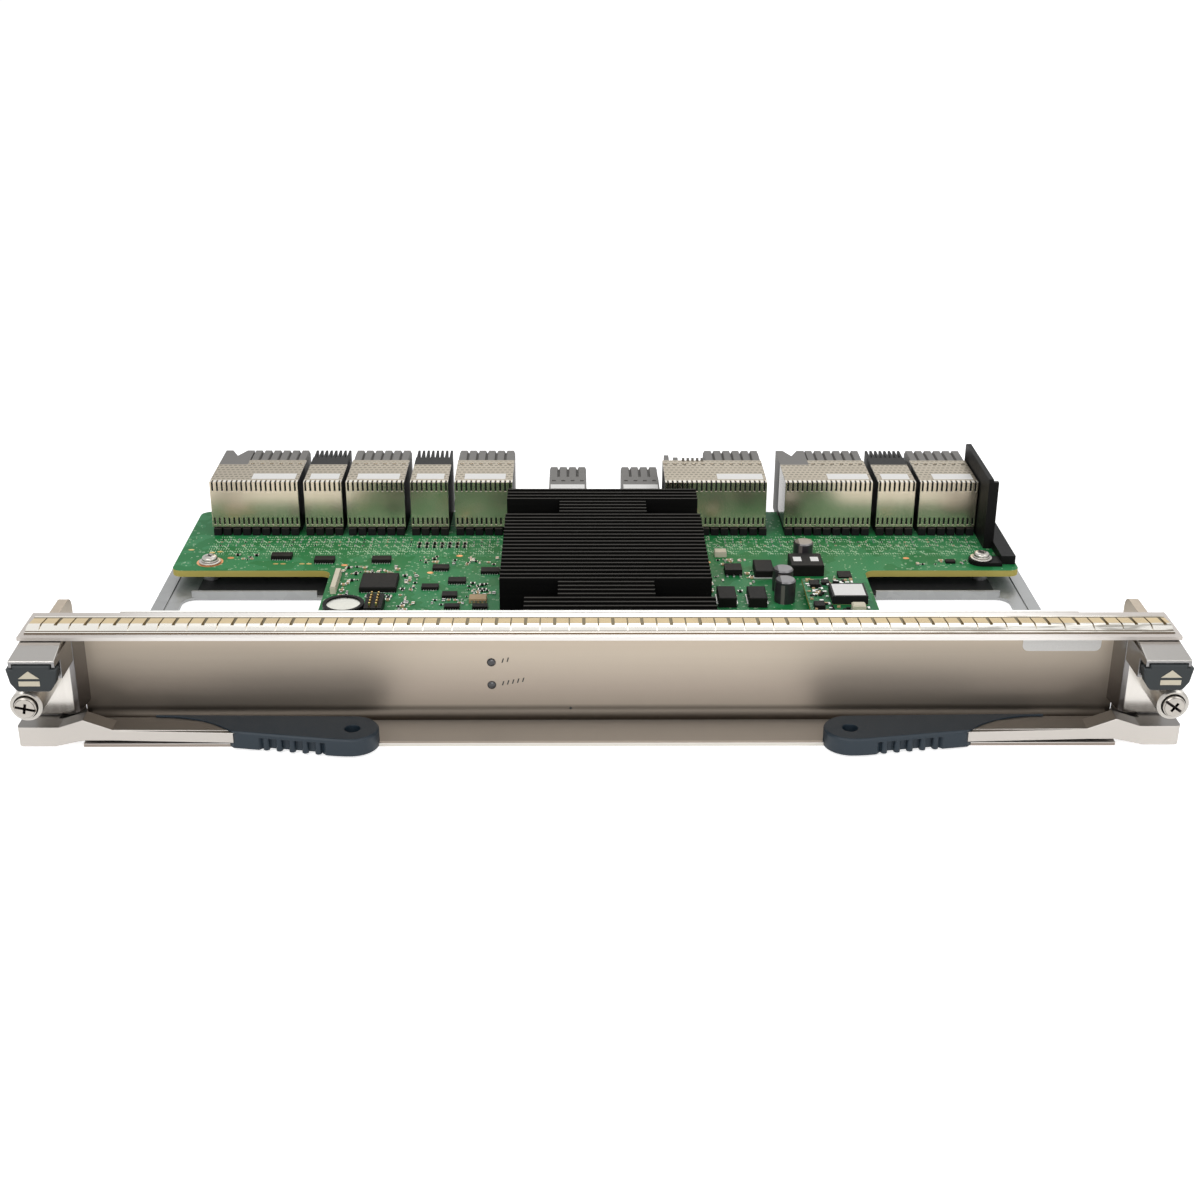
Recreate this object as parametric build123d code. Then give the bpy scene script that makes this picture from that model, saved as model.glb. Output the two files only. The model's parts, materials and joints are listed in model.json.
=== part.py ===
from build123d import *
import math
import os

# A plug-in switch fabric module for a large network chassis.
# The frame: X runs along the front panel, Y from the panel back to the connectors, Z up.
# Inside the functions Y is counted from the panel's front lip; save() then moves every
# piece so that the origin is the bottom centre of the whole module. All sizes are in mm.

# Front panel: a folded channel, open to the front
PANEL_LENGTH = 376.5
PANEL_HEIGHT = 39.8
PANEL_DEPTH = 21.0
PANEL_SHEET = 1.2
PANEL_BEND = 1.9
LOWER_BEND = 4.2
LATCH_WIDTH = 15.6
FLANGE_END_GAP = 17.3
PIVOT_TAB_REACH = 3.8
PIVOT_TAB_FRONT = 12.5
WEB_FOOT = 1.75
LED_HOLE_RADIUS = 1.5
LED_X = -37.0
LED_UPPER_Z = 21.3
LED_LOWER_Z = 12.8

# Sprung gasket strip on the panel's top flange
GASKET_END_GAP = 1.75
FINGER_PITCH = 9.525
FIRST_FINGER = 4.35
FINGER_SLIT = 0.5
FINGER_FRONT = 4.4
FINGER_REAR = 15.2
GASKET_FRONT = 2.6
GASKET_REAR = 16.0
GASKET_CREST = 7.8
GASKET_HEIGHT = 1.3
GASKET_STRIP = 0.3
GASKET_NOTCH = 1.1
GASKET_BULGE = 0.74

# Carrier tray under the board
TRAY_SHEET = 1.2
TRAY_REAR = 190.0
TRAY_WALL_HALF = 160.0
TRAY_WALL_DROP = 0.4
RAIL_WIDTH = 10.6
WINDOW_INNER = 98.0
WINDOW_REAR = 120.0
WINDOW_RADIUS = 5.0
WINDOW_FRONT_MARGIN = 2.5
GROOVE_INSET = 5.3
GROOVE_WIDTH = 0.8
GROOVE_DEPTH = 0.5
LIP_HEIGHT = 2.5
LIP_OUTER = 159.0
LIP_INNER = 110.0
INSULATOR = 0.3
INSULATOR_HALF = 158.0

# Circuit board and its screws
BOARD_GAP = 4.4
BOARD_THICKNESS = 2.6
BOARD_HALF = 168.8
BOARD_REAR = 196.0
BOARD_STEP = 130.5
BOARD_NECK_LEFT = -105.5
BOARD_NECK_RIGHT = 106.5
BOARD_FRONT = 26.0
BOARD_CORNER = 4.0
SCREW_X = 155.0
SCREW_Y = 139.5
FRONT_SCREW_X = 88.0
FRONT_SCREW_Y = 36.0
BOARD_SCREW_RADIUS = 1.4
BOARD_SCREW_HEAD = 3.1
BOARD_SCREW_HEIGHT = 2.2
WASHER_RADIUS = 4.4
WASHER_THICKNESS = 0.8
STANDOFF_RADIUS = 3.0
FIXED_FIT = 0.03
HOLE_EASE = 0.3

# Heat sink over the switch chips
SINK_LEFT = -35.7
SINK_RIGHT = 40.0
SINK_REAR = 152.4
SINK_TOP = 34.8
FIN_PITCH = 3.5
FIN_COUNT = 35
FIN_THICKNESS = 0.9
SINK_BASE = 4.0
CHIP_HEIGHT = 3.2
CHIP_SIDE = 37.5
POCKET_LEFT = -14.8
POCKET_RIGHT = 19.2
POCKET_FINS = 4
REAR_FULL_FINS = 4
FRONT_FULL_FINS = 4
SHORT_FINS = 4
SHORT_FIN_LEFT = -26.4
SINK_SCREW_RADIUS = 1.5
SINK_SCREW_HEAD = 3.0
SINK_SCREW_HEIGHT = 4.0

# Backplane connectors
CONNECTOR_FRONT = 169.65
CONNECTOR_REAR = 209.8
CONNECTOR_HEIGHT = 23.1
SMALL_HEIGHT = 15.6
STIFFENER_SHEET = 0.5
STIFFENER_DEPTH = 27.5
HOUSING_FRONT = 191.6
WAFER_PITCH = 2.0
SLOT_WIDTH = 0.7
SLOT_HEIGHT = 3.0
UPPER_SLOT_DROP = 4.0
UPPER_SLOT_REACH = 2.55
LOWER_SLOT_RISE = 1.2
FOOT_HEIGHT = 3.0
FOOT_REACH = 1.4
FOOT_DEPTH = 6.0
FOOT_GAP = 0.9
SIDE_EASE = 0.25
HOUSING_UNDERHANG = 3.0
RIDGE_HEIGHT = 1.2
RIDGE_SLOPE = 0.5
MATING_SLOT = 0.9
MATING_SLOT_DEPTH = 3.0
MATING_MARGIN = 2.0
TOP_HOLE = 1.6
GUIDE_WIDTH = 12.2
GUIDE_BORE = 3.3
GUIDE_DEPTH = 14.0
GUIDE_NOTCH_WIDTH = 7.0
GUIDE_NOTCH_DEPTH = 7.0
GUIDE_NOTCH_HEIGHT = 5.0
BLADE_LENGTH = 9.0
BLADE_THICKNESS = 1.0
SIGNAL_WIDTH = 24.0
POWER_WIDTH = 15.6
SMALL_WIDTH = 15.8

# Where each connector's left side stands, by name
GUIDED = {"outer_left": -159.2, "inner_right": 78.4}
SIGNAL = {"middle_left": -103.2, "inner_left": -58.5, "outer_right": 134.4}
POWER = {"left_outer": -120.6, "left_inner": -76.7, "right": 116.9}
KEYED = {"centre_right": 28.6}
SMALL = {"left": -19.6, "right": 11.2}
KEYED_EXTRA = 18.2
COMB_COUNT = 5
COMB_INSET = 8.4
COMB_TOOTH = 1.1
COMB_RISE = 0.8

# Guide bracket at the board's right rear corner
BRACKET_LEFT = 159.0
BRACKET_PLATE = 2.0
BRACKET_RIDGE = 4.0
BRACKET_TOP = 37.9
BRACKET_FRONT = 154.0
BRACKET_REAR = 201.0
ARM_OUTER = 168.3
ARM_INNER = 162.6
ARM_FRONT = 137.0
ARM_HEIGHT = 3.6
FOOT_PLATE = 1.6
FOOT_RADIUS = 5.0

# Latch housing at each end of the panel
LATCH_FRONT = 8.8
LATCH_BOTTOM = 7.8
LATCH_DROP = 3.2
LATCH_FLARE = 2.6
LATCH_BEVEL = 1.4
HOOD_FRONT = -4.5
HOOD_LIP = -11.0
HOOD_HEIGHT = 9.1
HOOD_WALL = 1.0
HOOD_NARROWER = 1.0
HOOD_CHEEK = 2.3
HOOD_MEETS_FLANGE = 2.0
HOOD_TAPER = 1.5
HOOD_ROUND = 0.6
HUB_EASE = 0.5

# Eject button
BUTTON_FACE = -11.8
BUTTON_CAP = 3.2
BUTTON_WIDTH = 16.3
BUTTON_HEIGHT = 9.1
BUTTON_SHOULDER = 0.9
BUTTON_FOOT = 2.9
BUTTON_CORNER = 1.6
BUTTON_TRAVEL = 3.0
BUTTON_REAR = 4.6
SLIDE_EASE = 0.3
SPRING_POCKET = 2.4
SPRING_POCKET_DEPTH = 9.0
BUTTON_COIL_RADIUS = 1.8
BUTTON_WIRE = 0.25
SPRING_TURNS = 5
LUG_DEPTH = 0.7
LUG_LENGTH = 1.6
LUG_HEIGHT = 2.0
LUG_FRONT = -0.5

# Ejector lever
PIVOT_INSET = 9.75
PIVOT_Y = 17.0
PIN_RADIUS = 1.5
PIN_RUN = 0.06
HUB_RADIUS = 3.2
ROOT_RADIUS = 4.6
ROOT_TOP = 7.2
ROOT_BOTTOM = 0.3
ROOT_OVERHANG = 4.0
ROOT_DEPTH = 9.5
HUB_BOTTOM = 1.5
CLAW_DROP = 1.8
CLAW_HEIGHT = 9.8
HORN_RISE = 1.6
HORN_START = 4.5
HORN_FULL = 9.0
HORN_ROUND = 4.5
CLAW_REACH = 25.0
CLAW_OUTER = 6.9
CLAW_INNER = 3.6
CLAW_BEND = 7.0
ARM_BOTTOM = 2.4
ARM_TOP = 6.0
ARM_DEPTH = 9.5
HUMP_TOP = 9.9
HUMP_DEPTH = 6.5
HUMP_INSET = 17.8
HUMP_START = 27.2
ROOT_STEP = 8.1
ROOT_STEP_END = 15.6
GRIP_START = 67.0
ARM_IN_GRIP = 94.0

# Grip moulded over the lever's end
GRIP_BOTTOM = 1.5
GRIP_TOP = 6.5
GRIP_SKIRT = 0.5
GRIP_SKIRT_REAR = -0.4
BULB_INSET = 106.0
BULB_Y = 0.9
BULB_RADIUS = 8.7
GRIP_HOLE = 2.65
GRIP_HOLE_Y = 0.3
GRIP_SIDE = -1.8
GRIP_SWELL_INSET = 98.3
GRIP_SWELL_Y = -7.0
TONGUE_INSET = 39.5
TONGUE_Y = 10.9
TONGUE_TIP = 1.2
TONGUE_MID_INSET = 54.0
TONGUE_MID_Y = 7.1
SCOOP_START = 75.5
SCOOP_END = 98.0
SCOOP_DEPTH = 1.9
SCOOP_TOP = 4.9
RIB_COUNT = 5
RIB_PITCH = 4.35
RIB_FIRST = 78.0
RIB_RADIUS = 1.1

# Captive screw and its ferrule
SCREW_INSET = 2.95
SCREW_DROP = 8.3
HEAD_FRONT = -10.0
HEAD_LENGTH = 5.0
HEAD_RADIUS = 3.65
HEAD_CHAMFER = 0.5
FERRULE_RADIUS = 5.25
FERRULE_BORE = 4.05
FERRULE_FRONT = -8.4
FERRULE_FLOOR = 5.0
FERRULE_SHANK = 2.55
FERRULE_SHANK_END = 12.0
SHANK_RADIUS = 1.75
SHANK_EASE = 0.1
THREAD_RADIUS = 2.0
THREAD_START = 21.5
THREAD_END = 26.0
CLIP_RADIUS = 2.3
CLIP_THICKNESS = 0.8
CLIP_GROOVE = 0.3
CLIP_RUN = 0.05
SCREW_HOLE = 2.65
SCREW_TRAVEL = 5.0
SCREW_COIL_RADIUS = 3.1
SCREW_WIRE = 0.35
SLOT_CUT = 0.9
SLOT_CUT_DEPTH = 1.0
CROSS_LENGTH = 3.6
CROSS_DEPTH = 1.8
SLOT_TILT = {"left": 12.0, "right": -35.0}

# What stands on the board: left, right, front, rear and height of each small chip
CHIPS = {
    "near_left": (-131.0, -122.8, 141.9, 146.3, 1.6),
    "near_middle": (-113.2, -105.2, 138.0, 142.4, 1.6),
    "near_right": (-90.2, -82.6, 138.2, 142.6, 1.6),
    "centre_rear": (-65.3, -58.8, 130.2, 134.6, 1.2),
    "centre_upper": (-58.3, -51.4, 117.0, 121.6, 1.2),
    "centre_lower": (-68.2, -61.6, 111.2, 115.0, 1.2),
    "sink_side": (-46.0, -38.6, 127.0, 131.5, 1.2),
    "sink_front": (-59.8, -54.0, 103.2, 107.6, 1.2),
    "front_left": (-58.2, -52.4, 92.8, 96.0, 1.2),
    "front_right": (-47.6, -41.8, 92.8, 96.0, 1.2),
    "crystal": (-49.0, -42.5, 98.5, 103.0, 1.8),
    "regulator": (50.6, 57.4, 125.5, 132.5, 2.4),
    "driver": (95.0, 100.2, 121.0, 127.0, 1.4),
    "edge": (140.6, 144.4, 137.6, 140.2, 1.0),
    "slim_connector": (-102.9, -100.8, 107.2, 126.0, 3.0),
    "tantalum": (48.0, 52.6, 144.5, 148.5, 2.2),
}
PROCESSOR = (-92.0, -77.7, 108.8, 123.5, 2.2)
HEADER = (-87.6, -81.0, 85.0, 99.0, 5.5)
HEADER_PIN = 0.64
HEADER_PITCH = 2.54
HEADER_PIN_RISE = 1.5
CELL_X = -95.6
CELL_Y = 90.0
CELL_RADIUS = 6.4
CELL_WALL = 1.4
CELL_HEIGHT = 4.0
CAPACITORS = {"rear": (83.4, 143.4, 7.4), "middle": (71.7, 111.8, 9.0), "front": (71.4, 101.0, 9.0)}
CAPACITOR_RADIUS = 4.0
INDUCTORS = {
    "double": (76.6, 89.6, 124.6, 137.6, 4.7),
    "upper": (62.2, 69.6, 122.0, 134.0, 3.4),
    "lower_left": (45.6, 52.6, 94.2, 106.0, 4.0),
    "lower_right": (57.2, 64.2, 94.2, 106.0, 4.0),
}
DAUGHTER = (79.2, 103.6, 80.0, 113.0)
DAUGHTER_LIFT = 2.9
DAUGHTER_SHEET = 1.2
MODULE = (87.9, 101.2, 88.0, 100.4, 3.4)
DAUGHTER_SOCKET = 3.0

# Worked out from the sizes above
panel_half = PANEL_LENGTH / 2
web_half = panel_half - LATCH_WIDTH
flange_half = panel_half - FLANGE_END_GAP
flange_under = PANEL_HEIGHT - PANEL_SHEET
web_front = PANEL_DEPTH - PANEL_SHEET
board_under = TRAY_SHEET + BOARD_GAP
board_top = board_under + BOARD_THICKNESS
pivot_x = panel_half - PIVOT_INSET
screw_x = panel_half - SCREW_INSET
latch_top = PANEL_HEIGHT - LATCH_DROP
hood_bottom = latch_top - HOOD_HEIGHT
screw_z = hood_bottom - SCREW_DROP
claw_top = latch_top - CLAW_DROP
claw_bottom = claw_top - CLAW_HEIGHT
button_top = latch_top - HOOD_WALL - SLIDE_EASE
button_bottom = button_top - BUTTON_HEIGHT
hood_inner = panel_half - LATCH_WIDTH + HOOD_NARROWER
lip_y = (-BUTTON_FACE - CONNECTOR_REAR) / 2


def block(x, y, z):
    """A block between two values on each axis."""
    spans = [(min(pair), max(pair)) for pair in (x, y, z)]
    sizes = [high - low for low, high in spans]
    middle = [(high + low) / 2 for low, high in spans]
    return Pos(*middle) * Box(*sizes)


def rod_y(x, z, radius, y):
    """A round bar along Y."""
    length = y[1] - y[0]
    return Pos(x, (y[0] + y[1]) / 2, z) * Rot(90, 0, 0) * Cylinder(radius, length)


def rod_z(x, y, radius, z):
    """A round bar along Z."""
    return Pos(x, y, (z[0] + z[1]) / 2) * Cylinder(radius, z[1] - z[0])


def prism_z(sketch, z):
    """A flat outline in X and Y, raised between two heights."""
    return Pos(0, 0, z[0]) * extrude(sketch, amount=z[1] - z[0])


def prism_y(sketch, y):
    """A flat outline in X and Z, drawn back between two depths."""
    return Pos(0, y[0], 0) * extrude(Plane.XZ * sketch, amount=-(y[1] - y[0]))


def prism_x(sketch, x):
    """A flat outline in Y and Z, drawn sideways between two values of X."""
    return Pos(x[0], 0, 0) * extrude(Plane.YZ * sketch, amount=x[1] - x[0])


def rectangle(x, y):
    """A flat rectangle between two values on each axis."""
    return Pos((x[0] + x[1]) / 2, (y[0] + y[1]) / 2) * Rectangle(x[1] - x[0], y[1] - y[0])


def outline(*points):
    """A flat face inside straight edges."""
    return make_face(Polyline(*points, close=True))


def other_side(part):
    """The same piece for the right-hand end."""
    return mirror(part, about=Plane.YZ)


def save(part, name):
    """Move a piece into the module's frame and write it."""
    export_step(Pos(0, lip_y, 0) * part, f"parts/{name}.step")


# Front panel and gasket

def rear_corner(section, level):
    """The rear vertex of a section at its lowest (0) or highest (-1) level."""
    return section.vertices().group_by(Axis.Y)[level].sort_by(Axis.X)[-1]


def front_panel():
    """The channel: top flange full length, web and lower flange cut short at the ends."""
    section = rectangle((0, PANEL_DEPTH), (0, PANEL_HEIGHT))
    section = fillet(rear_corner(section, -1), PANEL_BEND)
    section = fillet(rear_corner(section, 0), LOWER_BEND)
    inside = rectangle((-PANEL_DEPTH, web_front), (PANEL_SHEET, flange_under))
    inside = fillet(rear_corner(inside, -1), PANEL_BEND - PANEL_SHEET)
    inside = fillet(rear_corner(inside, 0), LOWER_BEND - PANEL_SHEET)
    panel = prism_x(section - inside, (-panel_half, panel_half))
    for side in (-1, 1):
        past = side * (panel_half + PANEL_SHEET)
        web_end = block((side * web_half, past), (-1, PANEL_DEPTH + 1), (LATCH_BOTTOM, flange_under))
        foot_end = block((side * (web_half + WEB_FOOT), past), (-1, PANEL_DEPTH + 1), (PANEL_SHEET, LATCH_BOTTOM))
        foot_front = block((side * web_half, past), (-1, web_front), (PANEL_SHEET, LATCH_BOTTOM))
        tab_end = side * (pivot_x + PIVOT_TAB_REACH)
        beyond_tab = block((tab_end, past), (-1, PANEL_DEPTH + 1), (-1, PANEL_SHEET))
        before_tab = block((side * flange_half, past), (-1, PIVOT_TAB_FRONT), (-1, PANEL_SHEET))
        pin_hole = rod_z(side * pivot_x, PIVOT_Y, PIN_RADIUS + FIXED_FIT, (-1, PANEL_SHEET + 1))
        panel = panel - web_end - foot_end - foot_front - beyond_tab - before_tab
        tab = block((side * web_half, tab_end), (PIVOT_TAB_FRONT, web_front), (0, PANEL_SHEET))
        panel = panel + tab - pin_hole
    for height in (LED_UPPER_Z, LED_LOWER_Z):
        panel -= rod_y(LED_X, height, LED_HOLE_RADIUS, (web_front - 1, PANEL_DEPTH + 1))
    return panel


def gasket_finger(start, end, notch):
    """One sprung finger: a low dome over the flange, split by a notch at its rear."""
    base = PANEL_HEIGHT + GASKET_STRIP
    crest = PANEL_HEIGHT + GASKET_HEIGHT
    rise = ThreePointArc(
        (FINGER_FRONT, base),
        ((FINGER_FRONT + GASKET_CREST) / 2, base + (crest - base) * GASKET_BULGE),
        (GASKET_CREST, crest),
    )
    under = Polyline(
        (GASKET_CREST, crest), (FINGER_REAR, base), (FINGER_REAR, PANEL_HEIGHT),
        (FINGER_FRONT, PANEL_HEIGHT), (FINGER_FRONT, base),
    )
    finger = prism_x(make_face([rise, under]), (start, end))
    notch_x = (notch - GASKET_NOTCH / 2, notch + GASKET_NOTCH / 2)
    return finger - block(notch_x, (GASKET_CREST - 1, FINGER_REAR), (base, crest + 1))


def emi_gasket():
    """The strip of fingers clipped along the top flange; the end fingers are cut short."""
    first = GASKET_END_GAP - panel_half
    last = panel_half - GASKET_END_GAP
    gasket = block((first, last), (GASKET_FRONT, GASKET_REAR), (PANEL_HEIGHT, PANEL_HEIGHT + GASKET_STRIP))
    slit = first + FIRST_FINGER - FINGER_PITCH
    fingers = []
    while slit < last:
        start = max(slit + FINGER_SLIT / 2, first)
        end = min(slit + FINGER_PITCH - FINGER_SLIT / 2, last)
        fingers.append(gasket_finger(start, end, slit + FINGER_PITCH / 2))
        slit += FINGER_PITCH
    return gasket + fingers


# Carrier tray, insulator, board

def screw_places():
    """Where the board screws and their standoffs stand."""
    places = []
    for side in (-1, 1):
        places.append((side * SCREW_X, SCREW_Y))
        places.append((side * FRONT_SCREW_X, FRONT_SCREW_Y))
    return places


def carrier_tray():
    """Flat tray with a front wall, two windows, upturned lips and standoffs."""
    floor = rectangle((-web_half, web_half), (PANEL_DEPTH, TRAY_REAR))
    wall_rear = PANEL_DEPTH + TRAY_SHEET
    for side in (-1, 1):
        edges = sorted((side * WINDOW_INNER, side * (web_half - RAIL_WIDTH)))
        window = rectangle(edges, (wall_rear + WINDOW_FRONT_MARGIN, WINDOW_REAR))
        floor -= fillet(window.vertices(), WINDOW_RADIUS)
    tray = prism_z(floor, (0, TRAY_SHEET))
    tray += block((-TRAY_WALL_HALF, TRAY_WALL_HALF), (PANEL_DEPTH, wall_rear),
                  (0, PANEL_HEIGHT - TRAY_WALL_DROP))
    for side in (-1, 1):
        tray += block((side * LIP_INNER, side * LIP_OUTER), (WINDOW_REAR, WINDOW_REAR + TRAY_SHEET),
                      (0, TRAY_SHEET + LIP_HEIGHT))
        groove = side * (web_half - GROOVE_INSET)
        tray -= block((groove - GROOVE_WIDTH / 2, groove + GROOVE_WIDTH / 2),
                      (wall_rear + GROOVE_WIDTH, TRAY_REAR - GROOVE_WIDTH),
                      (TRAY_SHEET - GROOVE_DEPTH, TRAY_SHEET + 1))
    for x, y in screw_places():
        tray += rod_z(x, y, STANDOFF_RADIUS, (0, board_under))
        tray -= rod_z(x, y, BOARD_SCREW_RADIUS + FIXED_FIT, (-1, board_under + 1))
    for height in (LED_UPPER_Z, LED_LOWER_Z):
        tray -= rod_y(LED_X, height, LED_HOLE_RADIUS, (PANEL_DEPTH - 1, wall_rear + 1))
    return tray


def insulator_sheet():
    """Black film on the tray floor, with holes for the standoffs."""
    sheet = rectangle((-INSULATOR_HALF, INSULATOR_HALF), (WINDOW_REAR + 2 * TRAY_SHEET, TRAY_REAR - 3))
    for side in (-1, 1):
        sheet -= Pos(side * SCREW_X, SCREW_Y) * Circle(STANDOFF_RADIUS + HOLE_EASE)
    return prism_z(sheet, (TRAY_SHEET, TRAY_SHEET + INSULATOR))


def main_board():
    """T-shaped board: a wide rear strip and a neck that runs forward to the panel."""
    strip = rectangle((-BOARD_HALF, BOARD_HALF), (BOARD_STEP, BOARD_REAR))
    strip = fillet(strip.vertices(), BOARD_CORNER)
    neck = rectangle((BOARD_NECK_LEFT, BOARD_NECK_RIGHT), (BOARD_FRONT, BOARD_STEP + BOARD_CORNER))
    shape = (strip + neck).clean()
    steps = [corner for corner in shape.vertices()
             if abs(corner.Y - BOARD_STEP) < 0.01 and abs(corner.X) < BOARD_NECK_RIGHT + 1]
    shape = fillet(steps, BOARD_CORNER)
    for x, y in screw_places():
        shape -= Pos(x, y) * Circle(BOARD_SCREW_RADIUS + HOLE_EASE)
    return prism_z(shape, (board_under, board_top))


def board_screw(x, y, seat):
    """Pan-head screw with its washer, down into a standoff."""
    washer_top = seat + WASHER_THICKNESS
    washer = rod_z(x, y, WASHER_RADIUS, (seat, washer_top))
    head_top = washer_top + BOARD_SCREW_HEIGHT
    head = rod_z(x, y, BOARD_SCREW_HEAD, (washer_top, head_top))
    head = fillet(head.edges().group_by(Axis.Z)[-1], BOARD_SCREW_HEIGHT * 0.4)
    shank = rod_z(x, y, BOARD_SCREW_RADIUS, (TRAY_SHEET, washer_top))
    return washer + head + shank


def board_screws():
    """All the board screws; the rear right one stands on the guide bracket's foot."""
    screws = []
    for x, y in screw_places():
        on_bracket = x > 0 and y == SCREW_Y
        screws.append(board_screw(x, y, board_top + (FOOT_PLATE if on_bracket else 0)))
    return Compound(children=screws)


# Heat sink and the chips under it

def fin_span(index):
    """How far a fin reaches in X, counted from the rear fin."""
    from_front = FIN_COUNT - 1 - index
    in_rear_pocket = REAR_FULL_FINS <= index < REAR_FULL_FINS + POCKET_FINS
    in_front_pocket = FRONT_FULL_FINS <= from_front < FRONT_FULL_FINS + POCKET_FINS
    if in_rear_pocket or in_front_pocket:
        return POCKET_LEFT, POCKET_RIGHT
    if from_front < SHORT_FINS:
        return SHORT_FIN_LEFT, SINK_RIGHT
    return SINK_LEFT, SINK_RIGHT


def fin_rear(index):
    """The rear face of a fin."""
    return SINK_REAR - index * FIN_PITCH


def pocket_places():
    """The middle of each of the heat sink's four corner pockets."""
    first = fin_rear(REAR_FULL_FINS) - (POCKET_FINS - 1) * FIN_PITCH / 2 - FIN_THICKNESS / 2
    front_index = FIN_COUNT - FRONT_FULL_FINS - POCKET_FINS
    last = fin_rear(front_index) - (POCKET_FINS - 1) * FIN_PITCH / 2 - FIN_THICKNESS / 2
    columns = ((SINK_LEFT + POCKET_LEFT) / 2, (SINK_RIGHT + POCKET_RIGHT) / 2)
    return [(x, y) for x in columns for y in (first, last)]


def sink_base_heights():
    """The underside and the top of the heat sink's base."""
    under = board_top + CHIP_HEIGHT
    return under, under + SINK_BASE


def heat_sink():
    """Base plate with thin fins across it and four pockets for the screws."""
    under, top = sink_base_heights()
    front = fin_rear(FIN_COUNT - 1) - FIN_THICKNESS
    sink = block((SINK_LEFT, SINK_RIGHT), (front, SINK_REAR), (under, top))
    fins = []
    for index in range(FIN_COUNT):
        rear = fin_rear(index)
        fins.append(block(fin_span(index), (rear - FIN_THICKNESS, rear), (top - 1, SINK_TOP)))
    sink = sink + fins
    for x, y in pocket_places():
        sink -= rod_z(x, y, SINK_SCREW_RADIUS + HOLE_EASE, (under - 1, top + 1))
    return sink


def heat_sink_screws():
    """Four screws that press the heat sink down on the chips."""
    under, top = sink_base_heights()
    screws = []
    for x, y in pocket_places():
        head = rod_z(x, y, SINK_SCREW_HEAD, (top, top + SINK_SCREW_HEIGHT))
        screws.append(head + rod_z(x, y, SINK_SCREW_RADIUS, (board_top, top)))
    return Compound(children=screws)


def switch_chips():
    """The two switch chips, one behind the other."""
    centre_x = (SINK_LEFT + SINK_RIGHT) / 2
    front = fin_rear(FIN_COUNT - 1)
    chips = []
    for share in (1, 3):
        y = front + (SINK_REAR - front) * share / 4
        chips.append(block((centre_x - CHIP_SIDE / 2, centre_x + CHIP_SIDE / 2),
                           (y - CHIP_SIDE / 2, y + CHIP_SIDE / 2),
                           (board_top, board_top + CHIP_HEIGHT)))
    return Compound(children=chips)


# Backplane connectors

def connector_top(height):
    """How high a connector stands in the module."""
    return board_top + height


def slot_grid(left, right, z):
    """One slot for each wafer, along the stiffener's front."""
    count = round((right - left) / WAFER_PITCH)
    first = (left + right) / 2 - (count - 1) * WAFER_PITCH / 2
    cells = []
    for index in range(count):
        x = first + index * WAFER_PITCH
        cells.append(rectangle((x - SLOT_WIDTH / 2, x + SLOT_WIDTH / 2), z))
    return Sketch() + cells


def stiffener(left, right, height, tongue, side_wall=False):
    """Folded metal cover: slotted front, flat top, and a tongue over the housing."""
    top = connector_top(height)
    bottom = board_top + FOOT_HEIGHT + SIDE_EASE
    rear = HOUSING_FRONT if tongue is None else CONNECTOR_FRONT + STIFFENER_DEPTH
    under_top = top - STIFFENER_SHEET
    behind = CONNECTOR_FRONT + STIFFENER_SHEET
    cover = block((left, right), (CONNECTOR_FRONT, behind), (bottom, top))
    cover += block((left, right), (CONNECTOR_FRONT, HOUSING_FRONT), (under_top, top))
    if tongue is not None:
        cover += block(tongue, (HOUSING_FRONT - 1, rear), (under_top, top))
        holes = []
        count = round((tongue[1] - tongue[0]) / (2 * WAFER_PITCH))
        first = (tongue[0] + tongue[1]) / 2 - (count - 1) * WAFER_PITCH
        for index in range(count):
            x = first + index * 2 * WAFER_PITCH
            holes.append(rectangle((x - TOP_HOLE / 2, x + TOP_HOLE / 2),
                                   (HOUSING_FRONT, HOUSING_FRONT + TOP_HOLE)))
        cover -= prism_z(Sketch() + holes, (under_top - 1, top + 1))
    if side_wall:
        cover += block((left, left + STIFFENER_SHEET), (CONNECTOR_FRONT, HOUSING_FRONT), (bottom, top))
    upper = slot_grid(left, right, (top - UPPER_SLOT_DROP, top + 1))
    lower = (bottom + LOWER_SLOT_RISE, bottom + LOWER_SLOT_RISE + SLOT_HEIGHT)
    cover -= prism_y(upper, (CONNECTOR_FRONT - 1, CONNECTOR_FRONT + UPPER_SLOT_REACH))
    return cover - prism_y(slot_grid(left, right, lower), (CONNECTOR_FRONT - 1, behind + 1))


def wafer_body(left, right, height, side_wall=False):
    """The stacked wafers under the stiffener, on feet that stand on the board."""
    top = connector_top(height) - STIFFENER_SHEET
    low = board_top + FOOT_HEIGHT
    body_left = left + (STIFFENER_SHEET if side_wall else 0)
    body = block((body_left, right), (CONNECTOR_FRONT + STIFFENER_SHEET, HOUSING_FRONT), (low, top))
    count = round((right - left) / (2 * WAFER_PITCH))
    first = (left + right) / 2 - (count - 1) * WAFER_PITCH
    half = WAFER_PITCH - FOOT_GAP / 2
    feet = []
    for index in range(count):
        x = first + index * 2 * WAFER_PITCH
        feet.append(block((x - half, x + half),
                          (CONNECTOR_FRONT - FOOT_REACH, CONNECTOR_FRONT + FOOT_DEPTH),
                          (board_top, low)))
    tail = block((body_left, right), (CONNECTOR_FRONT + FOOT_DEPTH - 1, HOUSING_FRONT), (board_top, low))
    return body + feet + tail


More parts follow.
